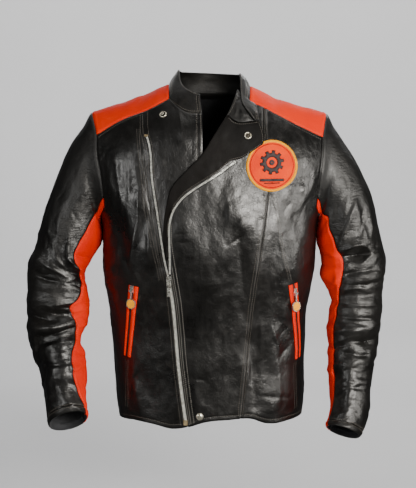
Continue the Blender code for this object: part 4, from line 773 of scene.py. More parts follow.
def armhole(points, angle, back=False, side=1):
    """Stations up an armhole from the underarm, which lies at the given angle."""
    count = ARM_STEPS // FINE
    spots = angle_of(along(points, count) * (side, 1), back)
    spots[0] = (angle, UNDERARM)
    return smooth(np.linspace(0, count, ARM_STEPS + 1), np.arange(count + 1), spots)

def side_seams():
    """The side seams with their armholes as (angle, height) stations."""
    hem_right, hem_left = HEM[0, 1], HEM[-1, 1]
    return {
        "side_right": joined(side_seam(-90, hem_right), armhole(ARMHOLE_FRONT_RIGHT, -90)),
        "side_left": joined(side_seam(90, hem_left), armhole(ARMHOLE_FRONT_LEFT, 90)),
        "back_left": joined(side_seam(90, hem_left), armhole(ARMHOLE_BACK, 90, back=True)),
        "back_right": joined(side_seam(270, hem_right), armhole(ARMHOLE_BACK, 270, back=True, side=-1)),
    }

def front_seams(yoke_right, yoke_left):
    """The seams and edges between the fronts, as (x, height) stations from the hem up."""
    rows = SIDE_STEPS + ARM_STEPS
    foot = ZIP_LINE[0][0]
    shift = ZIP_CLOSED_HALF + FRONT_GAP
    closed = [(foot + shift, HEM[4, 1])] + [(x + shift, z) for x, z in ZIP_LINE[1:6]]
    made = {
        "zip": along([on_curve(foot, HEM), *ZIP_LINE[1:], ZIP_SEAM_TOP], rows),
        "free_edge": along(FREE_EDGE, rows),
        "left_front": along(np.concatenate([closed, beside(ROLL_LINE, 0.0007)]), rows),
        "princess": along(PRINCESS_SEAM, rows),
    }
    made["zip"][-1] = yoke_right[RIGHT_SIDE_STEPS]
    made["princess"][0] = on_curve(made["princess"][0, 0], HEM)
    made["princess"][-1] = yoke_left[LEFT_YOKE_STEPS]
    return made

def yoke_stations(seam, corner, first_steps, last_steps):
    """Stations on a yoke seam, with a corner of the panels below it at the given x."""
    first = on_curve(np.linspace(seam[0][0], corner, first_steps + 1), seam)
    return joined(first, on_curve(np.linspace(corner, seam[-1][0], last_steps + 1), seam))

def share_of(reach):
    """Places between the nearest and the farthest, as shares."""
    return (reach - reach.min()) / (reach.max() - reach.min())

def back_stations(front_stations):
    """The back yoke seam, with its stations behind those of the front one."""
    start, end = YOKE_SEAM_BACK[0][0], YOKE_SEAM_BACK[-1][0]
    rows = on_curve(start + share_of(np.abs(front_stations[:, 0])) * (end - start), YOKE_SEAM_BACK)
    return rows * np.stack([np.sign(front_stations[:, 0]), np.ones(len(rows))], axis=1)

def panel(left, right, bottom, top, lapped=False):
    """(points, directions, stations, lapped) of a torso panel, whose corners are the ends of its sides."""
    bottom[0], bottom[-1], top[-1] = left[0], right[0], right[-1]
    if not lapped:  # the lapped front's neckline starts beside its roll line
        top[0] = left[-1]
    spots = coons(left, right, bottom, top)
    return (*torso(spots[..., 0], spots[..., 1], 0.0, lapped), spots, lapped)

def torso_grids():
    """The grids of the torso panels and (points, directions) of the yokes."""
    yoke_right = yoke_stations(YOKE_SEAM_RIGHT, ZIP_SEAM_TOP[0], RIGHT_SIDE_STEPS, RIGHT_INNER_YOKE_STEPS)
    yoke_left = yoke_stations(YOKE_SEAM_LEFT, PRINCESS_SEAM[-1][0], LEFT_YOKE_STEPS, LEFT_SIDE_STEPS)
    front = front_seams(yoke_right, yoke_left)
    seam = side_seams() | {name: angle_of(line) for name, line in front.items()}
    zip_foot, princess_foot, roll_foot = front["zip"][0], front["princess"][0], front["left_front"][0]
    grids = {}

    hem = hem_run(HEM[0, 0], zip_foot[0], RIGHT_SIDE_STEPS)
    top = yoke_right[: RIGHT_SIDE_STEPS + 1]
    grids["front_right_side"] = panel(seam["side_right"], seam["zip"], angle_of(hem), angle_of(top))

    top = joined(yoke_right[RIGHT_SIDE_STEPS:], along(NECK_FRONT_RIGHT, NECK_RIGHT_STEPS))
    hem = np.linspace(zip_foot, front["free_edge"][0], len(top))
    grids["front_right_inner"] = panel(seam["zip"], seam["free_edge"], angle_of(hem), angle_of(top))

    top = joined(along(NECK_FRONT_LEFT, NECK_LEFT_STEPS), yoke_left[: LEFT_YOKE_STEPS + 1])
    hem = hem_run(roll_foot[0], princess_foot[0], len(top) - 1)
    grids["front_left_centre"] = panel(
        seam["left_front"], seam["princess"], angle_of(hem), angle_of(top), lapped=True
    )

    hem = hem_run(princess_foot[0], HEM[-1, 0], LEFT_SIDE_STEPS)
    top = yoke_left[LEFT_YOKE_STEPS:]
    grids["front_left_side"] = panel(seam["princess"], seam["side_left"], angle_of(hem), angle_of(top))

    back_right, back_left = back_stations(yoke_right), back_stations(yoke_left)
    top = joined(back_left[::-1], along(NECK_BACK, NECK_BACK_STEPS), back_right[::-1])
    hem = np.linspace((90, HEM[-1, 1]), (270, HEM[0, 1]), len(top))
    grids["back_panel"] = panel(seam["back_left"], seam["back_right"], hem, angle_of(top, back=True))

    grids["yoke_right"] = yoke_grid(yoke_right, back_right, RIDGE[1, 0])
    grids["yoke_left"] = yoke_grid(yoke_left, back_left, RIDGE[-2, 0])
    return grids

def shoulder(x, phi):
    """Points over the shoulder ridge: phi is 0 on it, above 0 in front and below 0 behind."""
    z = ridge(x) - SHOULDER_ROUND * (1 - np.cos(phi))
    depth = oval_depth(x, z, phi < 0) * shoulder_share(x, z)
    return np.stack([x, -np.sign(phi) * depth, z], axis=-1)

def yoke_grid(front, back, ridge_end):
    """A yoke from the front seam over the ridge to the back seam, with x rising along its rows."""
    front_phi = np.arccos(1 - (ridge(front[:, 0]) - front[:, 1]) / SHOULDER_ROUND)
    back_phi = -np.arccos(1 - (ridge(back[:, 0]) - back[:, 1]) / SHOULDER_ROUND)
    neck_x = YOKE_NECK * np.sign(ridge_end)
    top_x = neck_x + share_of(np.abs(front[:, 0])) * (ridge_end - neck_x)
    t = np.linspace(0, 1, YOKE_STEPS + 1)[:, None]
    phi = front_phi + t * (back_phi - front_phi)
    crest = front_phi / (front_phi - back_phi)
    before = np.clip(t / crest, 0, 1)
    after = np.clip((t - crest) / (1 - crest), 0, 1)
    x_front = front[:, 0] + (top_x - front[:, 0]) * np.sin(before * pi / 2)
    x_back = back[:, 0] + (top_x - back[:, 0]) * np.cos(after * pi / 2)
    x = np.where(t < crest, x_front, x_back)
    across = shoulder(x + 0.0005, phi) - shoulder(x - 0.0005, phi)
    over = shoulder(x, phi - 0.004) - shoulder(x, phi + 0.004)
    return shoulder(x, phi), unit(np.cross(across, over))

def grid_normals(grid, closed=False):
    """Directions square to a grid of points, whose columns may go all the way round."""
    if closed:
        around = np.roll(grid, -1, axis=1) - np.roll(grid, 1, axis=1)
    else:
        around = np.gradient(grid, axis=1)
    return unit(np.cross(around, np.gradient(grid, axis=0)))

def sleeve_rings(side, table, share, edge):
    """Points round a sleeve at every row of its table, from under the arm round by the front."""
    rings = []
    for outer_x, outer_z, inner_x, inner_z, mid_y, depth, tilt, strip in table:
        middle = np.array([side * (outer_x + inner_x) / 2, mid_y, (outer_z + inner_z) / 2])
        outward = np.array([side * (outer_x - inner_x) / 2, 0, (outer_z - inner_z) / 2])
        forward = depth * np.array([0, -cos(radians(tilt)), sin(radians(tilt))])
        turn = np.interp(share, [0, edge, 1 - edge, 1], [180, strip, -STRIP_BACK_ANGLE, -180])
        turn = np.radians(turn)[:, None]
        rings.append(middle + np.cos(turn) * outward + np.sin(turn) * forward)
    return rings

def sleeve_grid(armhole_points, armhole_normals, side, table, folds, creases, strip_creases):
    """Points and directions of a sleeve, from its armhole to the cuff."""
    count = len(armhole_points)
    share = np.arange(count) / count
    edge = STRIP_STEPS / count
    rings = [armhole_points, *sleeve_rings(side, table, share, edge)]
    rings.insert(1, 0.75 * rings[0] + 0.25 * rings[1] + np.array([side * 0.0016, 0, 0]))
    rings = np.array(rings)
    steps = np.diff(run_length(rings.mean(axis=1)))
    place = np.concatenate([[0], np.cumsum(np.maximum(steps, 0.006))])
    rows = np.linspace(0, place[-1], SLEEVE_STEPS + 1)
    grid = smooth(rows, place, rings.reshape(len(rings), -1)).reshape(len(rows), count, 3)
    normal = side * -grid_normals(grid, closed=True)
    x, z, facing = grid[..., 0], grid[..., 2], normal[..., 1]
    start = np.clip(rows / 0.05, 0, 1)[:, None]
    shown, hidden = soft_step(-facing / 0.5) * start, soft_step(facing / 0.5) * start
    on_strip = soft_step((edge + 0.5 / count - np.minimum(share, 1 - share)) * count / 3)
    inward = soft_step((0.45 - facing) / 0.5) * on_strip * start
    lift = fold_height(x, z, folds) * (shown + 0.7 * hidden) + crease_height(x, z, creases) * shown
    lift = lift + crease_height(x, z, strip_creases) * inward + sleeve_relief(grid, share, side)
    grid = grid + lift[..., None] * normal
    normal = side * -grid_normals(grid, closed=True)
    normal[0] = armhole_normals
    return grid, normal

# ---------------------------------------------------------------- materials

class Nodes:
    """A material's node tree, with short ways to add and link nodes."""

    def __init__(self, name):
        self.material = bpy.data.materials.new(name)
        self.material.use_nodes = True
        self.tree = self.material.node_tree
        self.place = self.add("ShaderNodeTexCoord").outputs["Object"]

    def feed(self, socket, value):
        """Links an output to a socket, or sets the socket to a number, vector or colour."""
        if hasattr(value, "links"):
            self.tree.links.new(value, socket)
        else:
            socket.default_value = (*value, 1) if socket.type == "RGBA" else value

    def add(self, kind, *values, **named):
        """A new node. Values feed its first sockets; named ones feed a socket or set the node itself."""
        node = self.tree.nodes.new(kind)
        for key, value in named.items():
            socket = node.inputs.get(key.replace("_", " "))
            if socket is None:
                setattr(node, key, value)
            else:
                self.feed(socket, value)
        for socket, value in zip(node.inputs, values):
            self.feed(socket, value)
        return node

    def noise(self, scale, detail=2.0, rough=0.5, stretch=None):
        place = self.place
        if stretch is not None:
            place = self.add("ShaderNodeMapping", Scale=stretch, Vector=place).outputs["Vector"]
        node = self.add("ShaderNodeTexNoise", Scale=scale, Detail=detail, Roughness=rough, Vector=place)
        return node.outputs["Fac"]

    def span(self, source, low, high, start=0.0, end=1.0, kind="LINEAR"):
        """The source from start to end, turned to run from low to high."""
        ends = {"From_Min": start, "From_Max": end, "To_Min": low, "To_Max": high}
        node = self.add("ShaderNodeMapRange", Value=source, interpolation_type=kind, **ends)
        return node.outputs["Result"]

    def math(self, operation, one, two):
        return self.add("ShaderNodeMath", one, two, operation=operation).outputs["Value"]

    def height(self):
        return self.add("ShaderNodeSeparateXYZ", self.place).outputs["Z"]

    def mix(self, share, one, two):
        node = self.add("ShaderNodeMix", share, data_type="RGBA")
        self.feed(node.inputs[6], one)
        self.feed(node.inputs[7], two)
        return node.outputs[2]

    def bump(self, height, distance, strength=1.0, below=None):
        node = self.add("ShaderNodeBump", Distance=distance, Strength=strength, Height=height)
        if below is not None:
            self.feed(node.inputs["Normal"], below)
        return node.outputs["Normal"]

    def set(self, **values):
        for key, value in values.items():
            self.feed(self.tree.nodes["Principled BSDF"].inputs[key.replace("_", " ")], value)
        return self.material

def crazed(n, scale, drift):
    """Distance to the edges of a net of warped cells, the fine creases of finished leather."""
    colour = n.add("ShaderNodeTexNoise", Scale=38.0, Vector=n.place).outputs["Color"]
    warp = n.add("ShaderNodeVectorMath", colour, (drift,) * 3, n.place, operation="MULTIPLY_ADD")
    net = n.add("ShaderNodeTexVoronoi", feature="DISTANCE_TO_EDGE", Scale=scale, Vector=warp.outputs[0])
    return net.outputs["Distance"]

def leather(
    name, dark, light, rough, worn=None, grain=620.0, gloss=0.5, crinkle=1.0, across=0.0, swell=0.0, dull=0.0
):
    """Finished leather: pebbled grain, fine creases, patchy polish and slightly worn high spots.

    across is the strength of the fine folds that run round a sleeve, swell the height of a swelling at the
    chest, and dull the height below the origin's level over which the roughness rises."""
    n = Nodes(name)
    patches, small = n.noise(9.0, 3.0, 0.55), n.noise(70.0, 3.0, 0.6)
    colour = n.mix(n.span(patches, 0.0, 1.0, 0.35, 0.65), dark, light)
    if worn is not None:
        rubbed = n.math("MULTIPLY", n.noise(16.0, 4.0, 0.7), small)
        colour = n.mix(n.span(rubbed, 0.0, 0.55, 0.30, 0.46), colour, worn)
    polish = n.span(patches, rough - 0.06, rough + 0.06, 0.3, 0.7)
    polish = n.math("ADD", polish, n.span(small, -0.05, 0.05, 0.3, 0.7))
    if dull:
        polish = n.math("ADD", polish, n.span(n.height(), 0.0, dull, -0.32, -0.16))
    pebbles = n.add("ShaderNodeTexVoronoi", feature="SMOOTH_F1", Scale=grain, Vector=n.place)
    normal = n.bump(n.span(pebbles.outputs["Distance"], 0.0, 1.0, 0.0, 0.8), 0.00016, 0.40)
    creases = n.span(crazed(n, 150.0, 0.016), 0.0, 1.0, 0.0, 0.14)
    normal = n.bump(creases, 0.00040, 0.22 * crinkle, normal)
    normal = n.bump(n.noise(125.0, 4.0, 0.60), 0.0010, 0.32 * crinkle, normal)
    normal = n.bump(n.noise(46.0, 2.0, 0.5), 0.0020, 0.30 * crinkle, normal)
    if across:
        rows = n.span(n.noise(190.0, 3.0, 0.62, (0.30, 0.30, 1.0)), 0.0, 1.0, 0.30, 0.70)
        worked = n.span(n.noise(17.0, 2.0, 0.5), 0.15, 1.0, 0.40, 0.62)
        normal = n.bump(n.math("MULTIPLY", rows, worked), 0.0015, across, normal)
    if swell:
        height = n.height()
        rise = n.span(height, 0.0, 1.0, -0.47, -0.30, "SMOOTHSTEP")
        fall = n.span(height, 1.0, 0.0, -0.30, -0.13, "SMOOTHSTEP")
        normal = n.bump(n.math("MULTIPLY", rise, fall), swell, 1.0, normal)
    return n.set(
        Base_Color=colour, Roughness=polish, Normal=normal, Specular_IOR_Level=gloss, Specular_Tint=WARM_GLOSS
    )

def cloth(name, dark, light, rough, scale=900.0, sheen=0.15, gloss=0.5):
    n = Nodes(name)
    threads = [n.noise(scale, 1.0, 0.5, stretch) for stretch in ((1.0, 1.0, 0.25), (0.25, 0.25, 1.0))]
    weave = n.bump(n.math("MULTIPLY", *threads), 0.0004, 0.8)
    colour = n.mix(n.span(n.noise(30.0, 3.0), 0.0, 1.0, 0.35, 0.65), dark, light)
    return n.set(
        Base_Color=colour, Roughness=rough, Normal=weave, Sheen_Weight=sheen, Specular_IOR_Level=gloss
    )

def metal(name, bright, dull, rough, metallic=1.0):
    n = Nodes(name)
    colour = n.mix(n.span(n.noise(160.0, 4.0, 0.65), 0.0, 1.0, 0.42, 0.68), bright, dull)
    roughness = n.span(n.noise(420.0, 3.0, 0.6), rough - 0.10, rough + 0.14, 0.3, 0.7)
    scratches = n.bump(n.noise(900.0, 2.0, 0.6, (1.0, 1.0, 0.15)), 0.00008, 0.5)
    return n.set(Base_Color=colour, Roughness=roughness, Metallic=metallic, Normal=scratches)

def enamel(name, colour, edge):
    n = Nodes(name)
    shade = n.mix(n.span(n.noise(220.0, 3.0, 0.6), 0.0, 0.6, 0.45, 0.75), colour, edge)
    rough = n.span(n.noise(300.0, 2.0), 0.26, 0.40)
    flow = n.bump(n.noise(500.0, 2.0), 0.00006, 0.5)
    return n.set(Base_Color=shade, Roughness=rough, Specular_IOR_Level=0.12, Normal=flow)

def thread(name, colour, rough=0.55, gloss=0.5):
    n = Nodes(name)
    twist = n.noise(2600.0, 1.0, 0.5, (1.0, 1.0, 0.35))
    tone = n.mix(n.span(twist, 0.0, 1.0, 0.3, 0.7), [0.6 * c for c in colour], colour)
    ply = n.bump(twist, 0.00015, 0.7)
    return n.set(Base_Color=tone, Roughness=rough, Specular_IOR_Level=gloss, Normal=ply)

WARM_GLOSS = (1.0, 0.98, 0.94)
BLACK = leather(
    "black_leather", (0.0026, 0.0024, 0.0021), (0.0056, 0.0050, 0.0043), 0.345, (0.015, 0.0125, 0.0100),
    gloss=0.74, swell=0.015,
)
SLEEVE_BLACK = leather(
    "black_sleeve_leather", (0.0026, 0.0024, 0.0021), (0.0062, 0.0055, 0.0046), 0.36, (0.018, 0.0150, 0.0115),
    gloss=0.62, across=0.42, dull=0.14,
)
COLLAR_BLACK = leather(
    "black_collar_leather", (0.0034, 0.0030, 0.0025), (0.0070, 0.0060, 0.0050), 0.50, (0.020, 0.016, 0.012),
    gloss=0.42,
)
MATT = leather(
    "matt_leather", (0.0026, 0.0020, 0.0016), (0.0050, 0.0036, 0.0028), 0.66,
    grain=700.0, gloss=0.18, crinkle=0.7,
)
ORANGE = leather(
    "orange_leather", (0.72, 0.0185, 0.000), (0.86, 0.032, 0.000), 0.58, (0.82, 0.048, 0.002),
    grain=560.0, gloss=0.06, crinkle=0.9, across=0.15,
)
STRIP_ORANGE = leather(
    "orange_strip_leather", (0.60, 0.0105, 0.000), (0.73, 0.0190, 0.000), 0.58, (0.72, 0.032, 0.001),
    grain=560.0, gloss=0.06, crinkle=0.9, across=0.15,
)
LINING = cloth("lining", (0.010, 0.010, 0.011), (0.018, 0.018, 0.020), 0.75)
TAPE = cloth("zip_tape_cloth", (0.009, 0.009, 0.009), (0.016, 0.016, 0.016), 0.85, 1500.0)
BADGE_CLOTH = cloth("badge_cloth", (0.72, 0.030, 0.000), (0.86, 0.050, 0.000), 0.60, 1300.0, 0.0, 0.08)
ZIP_STEEL = metal("zip_steel", (0.90, 0.89, 0.80), (0.50, 0.48, 0.41), 0.30, 0.42)
PULL_STEEL = metal("pull_steel", (0.80, 0.78, 0.70), (0.36, 0.34, 0.29), 0.24, 0.85)
SNAP_STEEL = metal("snap_steel", (0.84, 0.79, 0.64), (0.34, 0.30, 0.22), 0.24, 0.85)
# Near-black steel: painted shade, for the pocket zips' teeth in shadow between their welts and for the sunk
# steps of the snaps.
PAINTED_SHADE_STEEL = metal("painted_shade_steel", (0.075, 0.066, 0.050), (0.022, 0.019, 0.015), 0.45)
BRASS = metal("old_brass", (0.52, 0.40, 0.22), (0.24, 0.17, 0.09), 0.34, 0.6)
YELLOW_ENAMEL = enamel("yellow_enamel", (0.96, 0.38, 0.000), (0.86, 0.30, 0.000))
BORDER_THREAD = thread("border_thread", (1.0, 0.40, 0.000), 0.9, 0.15)
RING_THREAD = thread("ring_thread", (0.42, 0.010, 0.000), 0.8, 0.2)
# Dark thread whose colour is lifted to a brownish grey: painted highlight, for the light that the rows of
# stitches catch.
BLACK_THREAD_PAINTED_HIGHLIGHT = thread("black_thread_painted_highlight", (0.125, 0.107, 0.084), 0.42)
# Thread of the rows beside the zip, paler still: painted highlight, for the light that these stitches catch.
ZIP_THREAD_PAINTED_HIGHLIGHT = thread("zip_side_thread_painted_highlight", (0.25, 0.235, 0.20), 0.42)
ORANGE_THREAD = thread("orange_thread", (0.70, 0.060, 0.012))
DARK_THREAD = thread("dark_thread", (0.030, 0.012, 0.010), 0.65)

# ---------------------------------------------------------------- shells, stitches and teeth

def linked(name, data):
    made = bpy.data.objects.new(name, data)
    bpy.context.scene.collection.objects.link(made)
    return made

def mesh_object(name, points, faces, materials, slots=None):
    mesh = bpy.data.meshes.new(name)
    mesh.from_pydata(np.asarray(points).reshape(-1, 3).tolist(), [], faces)
    made = linked(name, mesh)
    for material in materials:
        mesh.materials.append(material)
    if slots is not None:
        mesh.polygons.foreach_set("material_index", np.asarray(slots, dtype=np.int32))
    mesh.shade_smooth()
    mesh.set_sharp_from_angle(angle=radians(60))
    mesh.update()
    return made

def placed(made, body, slot, *nodes):
    """Rides a piece on its body and hides the solids that it stands for. Its slot is not used."""
    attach(made, body)
    if nodes:
        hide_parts(*nodes)
    return made

def resample(values, rows, columns):
    """A grid read at fractional row and column numbers."""
    r0 = np.clip(np.floor(rows).astype(int), 0, values.shape[0] - 2)
    c0 = np.clip(np.floor(columns).astype(int), 0, values.shape[1] - 2)
    r, c = (rows - r0)[:, None, None], (columns - c0)[None, :, None]
    top = values[r0 + 1][:, c0] * (1 - c) + values[r0 + 1][:, c0 + 1] * c
    return (values[r0][:, c0] * (1 - c) + values[r0][:, c0 + 1] * c) * (1 - r) + top * r

def closer_edges(grid, *others):
    """The grids with extra rows and columns beside their edges."""
    places = []
    for axis in (0, 1):
        steps = np.linalg.norm(np.diff(grid, axis=axis), axis=2)
        last = grid.shape[axis] - 1
        extra = []
        for end, inner, sign in ((0, 0, 1), (-1, last, -1)):
            step = np.median(steps.take(end, axis=axis))
            extra += [inner + sign * near / step for near in NEAR_EDGE if near / step < 2.5]
        whole = np.arange(last + 1.0)
        keep = [w for w in whole if w in (0, last) or all(abs(w - e) > 0.12 for e in extra)]
        places.append(np.array(sorted(keep + extra)))
    return [resample(values, *places) for values in (grid, *others)]

def edge_distances(grid):
    """Distance of every point from the left, right, bottom and top edge, along the grid's lines."""
    across = np.cumsum(np.linalg.norm(np.diff(grid, axis=1, prepend=grid[:, :1]), axis=2), axis=1)
    upward = np.cumsum(np.linalg.norm(np.diff(grid, axis=0, prepend=grid[:1]), axis=2), axis=0)
    return {"l": across, "r": across[:, -1:] - across, "b": upward, "t": upward[-1:] - upward}

def bell(distance, width):
    return np.exp(-((distance / width) ** 2))

def seam_depth(grid, seams, free, grooves):
    """Depth that the leather dips by at seams, free edges and sewn-in lines (side, distance, depth)."""
    away = edge_distances(grid)
    total = np.zeros(grid.shape[:2])
    for side in seams:
        total += 0.0011 * bell(away[side], 0.0017) - 0.0006 * bell(away[side] - 0.0050, 0.0026)
    for side in free:
        total += 0.0007 * bell(away[side], 0.0009)
    for side, distance, depth in grooves:
        swell = 0.45 * bell(away[side] - 0.5 * distance, 0.35 * distance)
        total += depth * (bell(away[side] - distance, 0.0013) - swell)
    return total

def shell(
    name, grid, normals, wall, finish, inside=None, seams="", free="", grooves=(), wrap=False, plain_rim=False
):
    """A closed shell from a grid of outer points. Returns the object with its final grid and directions."""
    if not wrap:
        grid, normals = closer_edges(grid, normals)
        normals = unit(normals)
        grid = grid - seam_depth(grid, seams, free, grooves)[..., None] * normals
    index = np.arange(grid.shape[0] * grid.shape[1]).reshape(grid.shape[:2])
    points = np.concatenate([grid.reshape(-1, 3), (grid - wall * normals).reshape(-1, 3)])
    under = index.size
    if wrap:
        index = np.concatenate([index, index[:, :1]], axis=1)
    corners = [index[:-1, :-1], index[:-1, 1:], index[1:, 1:], index[1:, :-1]]
    outer_faces = np.stack(corners, axis=-1).reshape(-1, 4)
    rims = [(index[0, 1:], index[0, :-1]), (index[-1, :-1], index[-1, 1:])]
    if not wrap:
        rims += [(index[:-1, 0], index[1:, 0]), (index[1:, -1], index[:-1, -1])]
    rim_faces = [np.stack([one, two, two + under, one + under], axis=-1) for one, two in rims]
    faces = np.concatenate([outer_faces, outer_faces[:, ::-1] + under, *rim_faces])
    slots = np.zeros(len(faces), int)
    slots[len(outer_faces) : 2 * len(outer_faces)] = int(inside is not None)
    slots[2 * len(outer_faces) :] = int(plain_rim)
    materials = [finish] if inside is None else [finish, inside]
    return mesh_object(name, points, faces.tolist(), materials, slots), grid, normals

def leather_piece(node, grid, normals, wall, finish, slot, held, **edges):
    """A leather shell in place of a solid. Returns its final grid and directions."""
    made, fine, directions = shell(node + "_leather", grid, normals, wall, finish, **edges)
    placed(made, "jacket", slot, node)
    return fine, directions

def inset(grid, normals, side, distance, trim=0.004):
    """Points and directions at a distance from one edge of a grid, short of the two ends by trim."""
    if side in "bt":
        grid, normals = grid.transpose(1, 0, 2), normals.transpose(1, 0, 2)
    if side in "rt":
        grid, normals = grid[:, ::-1], normals[:, ::-1]
    length = edge_distances(grid)["l"]
    points, directions = (
        np.array([[np.interp(distance, run, column) for column in row.T] for run, row in zip(length, values)])
        for values in (grid, normals)
    )
    run = run_length(points)
    keep = (run > trim) & (run < run[-1] - trim)
    return points[keep], unit(directions)[keep]

def between(at, run, values):
    """Rows of values read at distances along a run."""
    return np.stack([np.interp(at, run, column) for column in values.T], axis=1)

def stations(points, directions, pitch):
    """Even places along a run: centres, tangents and outward directions."""
    run = run_length(points)
    count = int(run[-1] / pitch)
    if count < 2:
        return np.zeros((3, 0, 3))
    at = (np.arange(count) + 0.5) * run[-1] / count
    tangent = unit(between(at + pitch / 3, run, points) - between(at - pitch / 3, run, points))
    out = between(at, run, directions)
    return between(at, run, points), tangent, unit(out - (out * tangent).sum(axis=1, keepdims=True) * tangent)

# Corners of one stitch and one tooth: (along, across, out), as shares of its size.
DIAMOND = ((1, 0), (0, 1), (-1, 0), (0, -1))
SQUARE = ((-0.5, -0.5), (0.5, -0.5), (0.5, 0.5), (-0.5, 0.5))
STITCH_ENDS = [(-0.5, 0, -0.9)], [(0.5, 0, -0.9)]
STITCH_MIDDLE = [(t, 0.95 * c, 0.95 * h + 0.15) for t in (-0.3, 0.3) for c, h in DIAMOND]
STITCH_POINTS = np.array(STITCH_ENDS[0] + STITCH_MIDDLE + STITCH_ENDS[1])
STITCH_FACES = (
    [(0, 1 + (i + 1) % 4, 1 + i) for i in range(4)]
    + [(1 + i, 1 + (i + 1) % 4, 5 + (i + 1) % 4, 5 + i) for i in range(4)]
    + [(5 + i, 5 + (i + 1) % 4, 9) for i in range(4)]
)
TOOTH_TAPER = ((0, 1.0), (0.7, 0.92), (1.0, 0.6))
TOOTH_POINTS = np.array([(x * share, y, z) for z, share in TOOTH_TAPER for x, y in SQUARE])
TOOTH_FACES = [(3, 2, 1, 0), (8, 9, 10, 11)] + [
    (r + i, r + (i + 1) % 4, r + 4 + (i + 1) % 4, r + 4 + i) for r in (0, 4) for i in range(4)
]

def scattered(name, spots, shape, shape_faces, finish):
    """One mesh of many copies of a shape. spots has rows of centres, tangents, directions and size."""
    points = []
    for centre, tangent, out, size in spots:
        axes = np.stack([tangent, np.cross(tangent, out), out], axis=1)
        points.append((centre[:, None] + (shape * size) @ axes).reshape(-1, 3))
    points = np.concatenate(points)
    starts = range(0, len(points), len(shape))
    faces = [tuple(start + k for k in face) for start in starts for face in shape_faces]
    return mesh_object(name, points, faces, [finish])

def sew(name, runs, finish, slot, pitch=0.0038, length=0.0028, thick=0.00050):
    """Stitches along runs of (points, directions)."""
    spots = [(*stations(*run, pitch), (length, thick, thick)) for run in runs if len(run[0]) > 2]
    made = scattered(name, spots, STITCH_POINTS, STITCH_FACES, finish)
    return placed(made, "jacket", slot)

def tape(name, line, half, out, lapped):
    """A flat woven strip along a line on the front."""
    points, normals = on_front(along(line, 90), 0.0, lapped)
    side = unit(np.cross(np.gradient(points, axis=0), normals))
    grid = np.stack([points + edge * side + out * normals for edge in np.linspace(-half, half, 5)], axis=1)
    return shell(name, grid, np.repeat(normals[:, None], 5, axis=1), TAPE_WALL, TAPE)[0]

def combined(name, parts):
    """Joins objects into one, with their materials."""
    points, faces, slots, materials = [], [], [], []
    for part in parts:
        mesh = part.data
        base = len(points)
        points += [tuple(vertex.co) for vertex in mesh.vertices]
        faces += [tuple(base + k for k in polygon.vertices) for polygon in mesh.polygons]
        slots += [len(materials) + polygon.material_index for polygon in mesh.polygons]
        materials += list(mesh.materials)
        bpy.data.objects.remove(part, do_unlink=True)
    return mesh_object(name, points, faces, materials, slots)

def zip_row(node, line, half, rise, shifts, pitch, size, finish, lapped=False, steps=160):
    """A woven tape with rows of teeth in place of a solid. shifts are (sideways, along) for each row."""
    base = tape(node + "_tape", line, half, rise[0], lapped)
    centre, tangent, out = stations(*on_front(along(line, steps), rise[1], lapped), pitch)
    side = np.cross(tangent, out)
    spots = [(centre + across * side + ahead * tangent, tangent, out, size) for across, ahead in shifts]
    teeth = scattered(node + "_teeth", spots, TOOTH_POINTS, TOOTH_FACES, finish)
    placed(combined(node + "_row", [base, teeth]), "jacket", "zip_metal", node)

# ---------------------------------------------------------------- the pieces

def armhole_loop(grids, side):
    """Points and directions round an armhole, from the underarm up the front and down the back."""
    front, yoke = ("front_left_side", "yoke_left") if side > 0 else ("front_right_side", "yoke_right")
    near, far = (-1, 0) if side > 0 else (0, -1)
    loops = []
    for kind in (0, 1):
        up_front = grids[front][kind][SIDE_STEPS:, near]
        over = grids[yoke][kind][:, near]
        down_back = grids["back_panel"][kind][SIDE_STEPS:, far][::-1]
        loops.append(np.concatenate([up_front[:-1], over[:-1], down_back[:-1]]))
    return loops

def dress_panels(grids):
    """The leather of the fronts and the back, finer than their grids."""
    made = {}
    for name, (seams, free, rows, columns) in PANELS.items():
        spots, lapped = grids[name][2:]
        last = np.array(spots.shape[:2]) - 1
        spots = resample(spots, np.linspace(0, last[0], rows + 1), np.linspace(0, last[1], columns + 1))
        grid, normals = torso(spots[..., 0], spots[..., 1], 0.0, lapped)
        inner = name == "front_right_inner"
        made[name] = leather_piece(
            name, grid, normals, WALL, BLACK, "leather_black", "hung", inside=LINING, seams=seams, free=free,
            grooves=[("b", 0.0085, 0.0006)] + [("r", 0.0090, 0.0005)] * inner, plain_rim=inner,
        )
    return made

def middle_share(grid):
    """0 on the edges of a grid, rising to 1 in its middle."""
    u, v = (np.sin(pi * np.linspace(0, 1, count)) for count in grid.shape[:2])
    return u[:, None] * v[None]

def dress_yokes(grids):
    """The yokes, with soft gathers that fade out at their seams."""
    made = {}
    for name in ("yoke_right", "yoke_left"):
        grid, guide = grids[name][:2]
        grid = grid + (waves(grid, *YOKE_WAVES) * middle_share(grid) ** 0.4)[..., None] * guide
        normals = grid_normals(grid)
        normals = normals * np.sign((normals * guide).sum(axis=-1, keepdims=True))
        for edge in (np.s_[0], np.s_[-1], np.s_[:, 0], np.s_[:, -1]):
            normals[edge] = guide[edge]
        made[name] = leather_piece(
            name, grid, normals, WALL, ORANGE, "leather_orange", "hung", inside=LINING, seams="lrtb"
        )
    return made

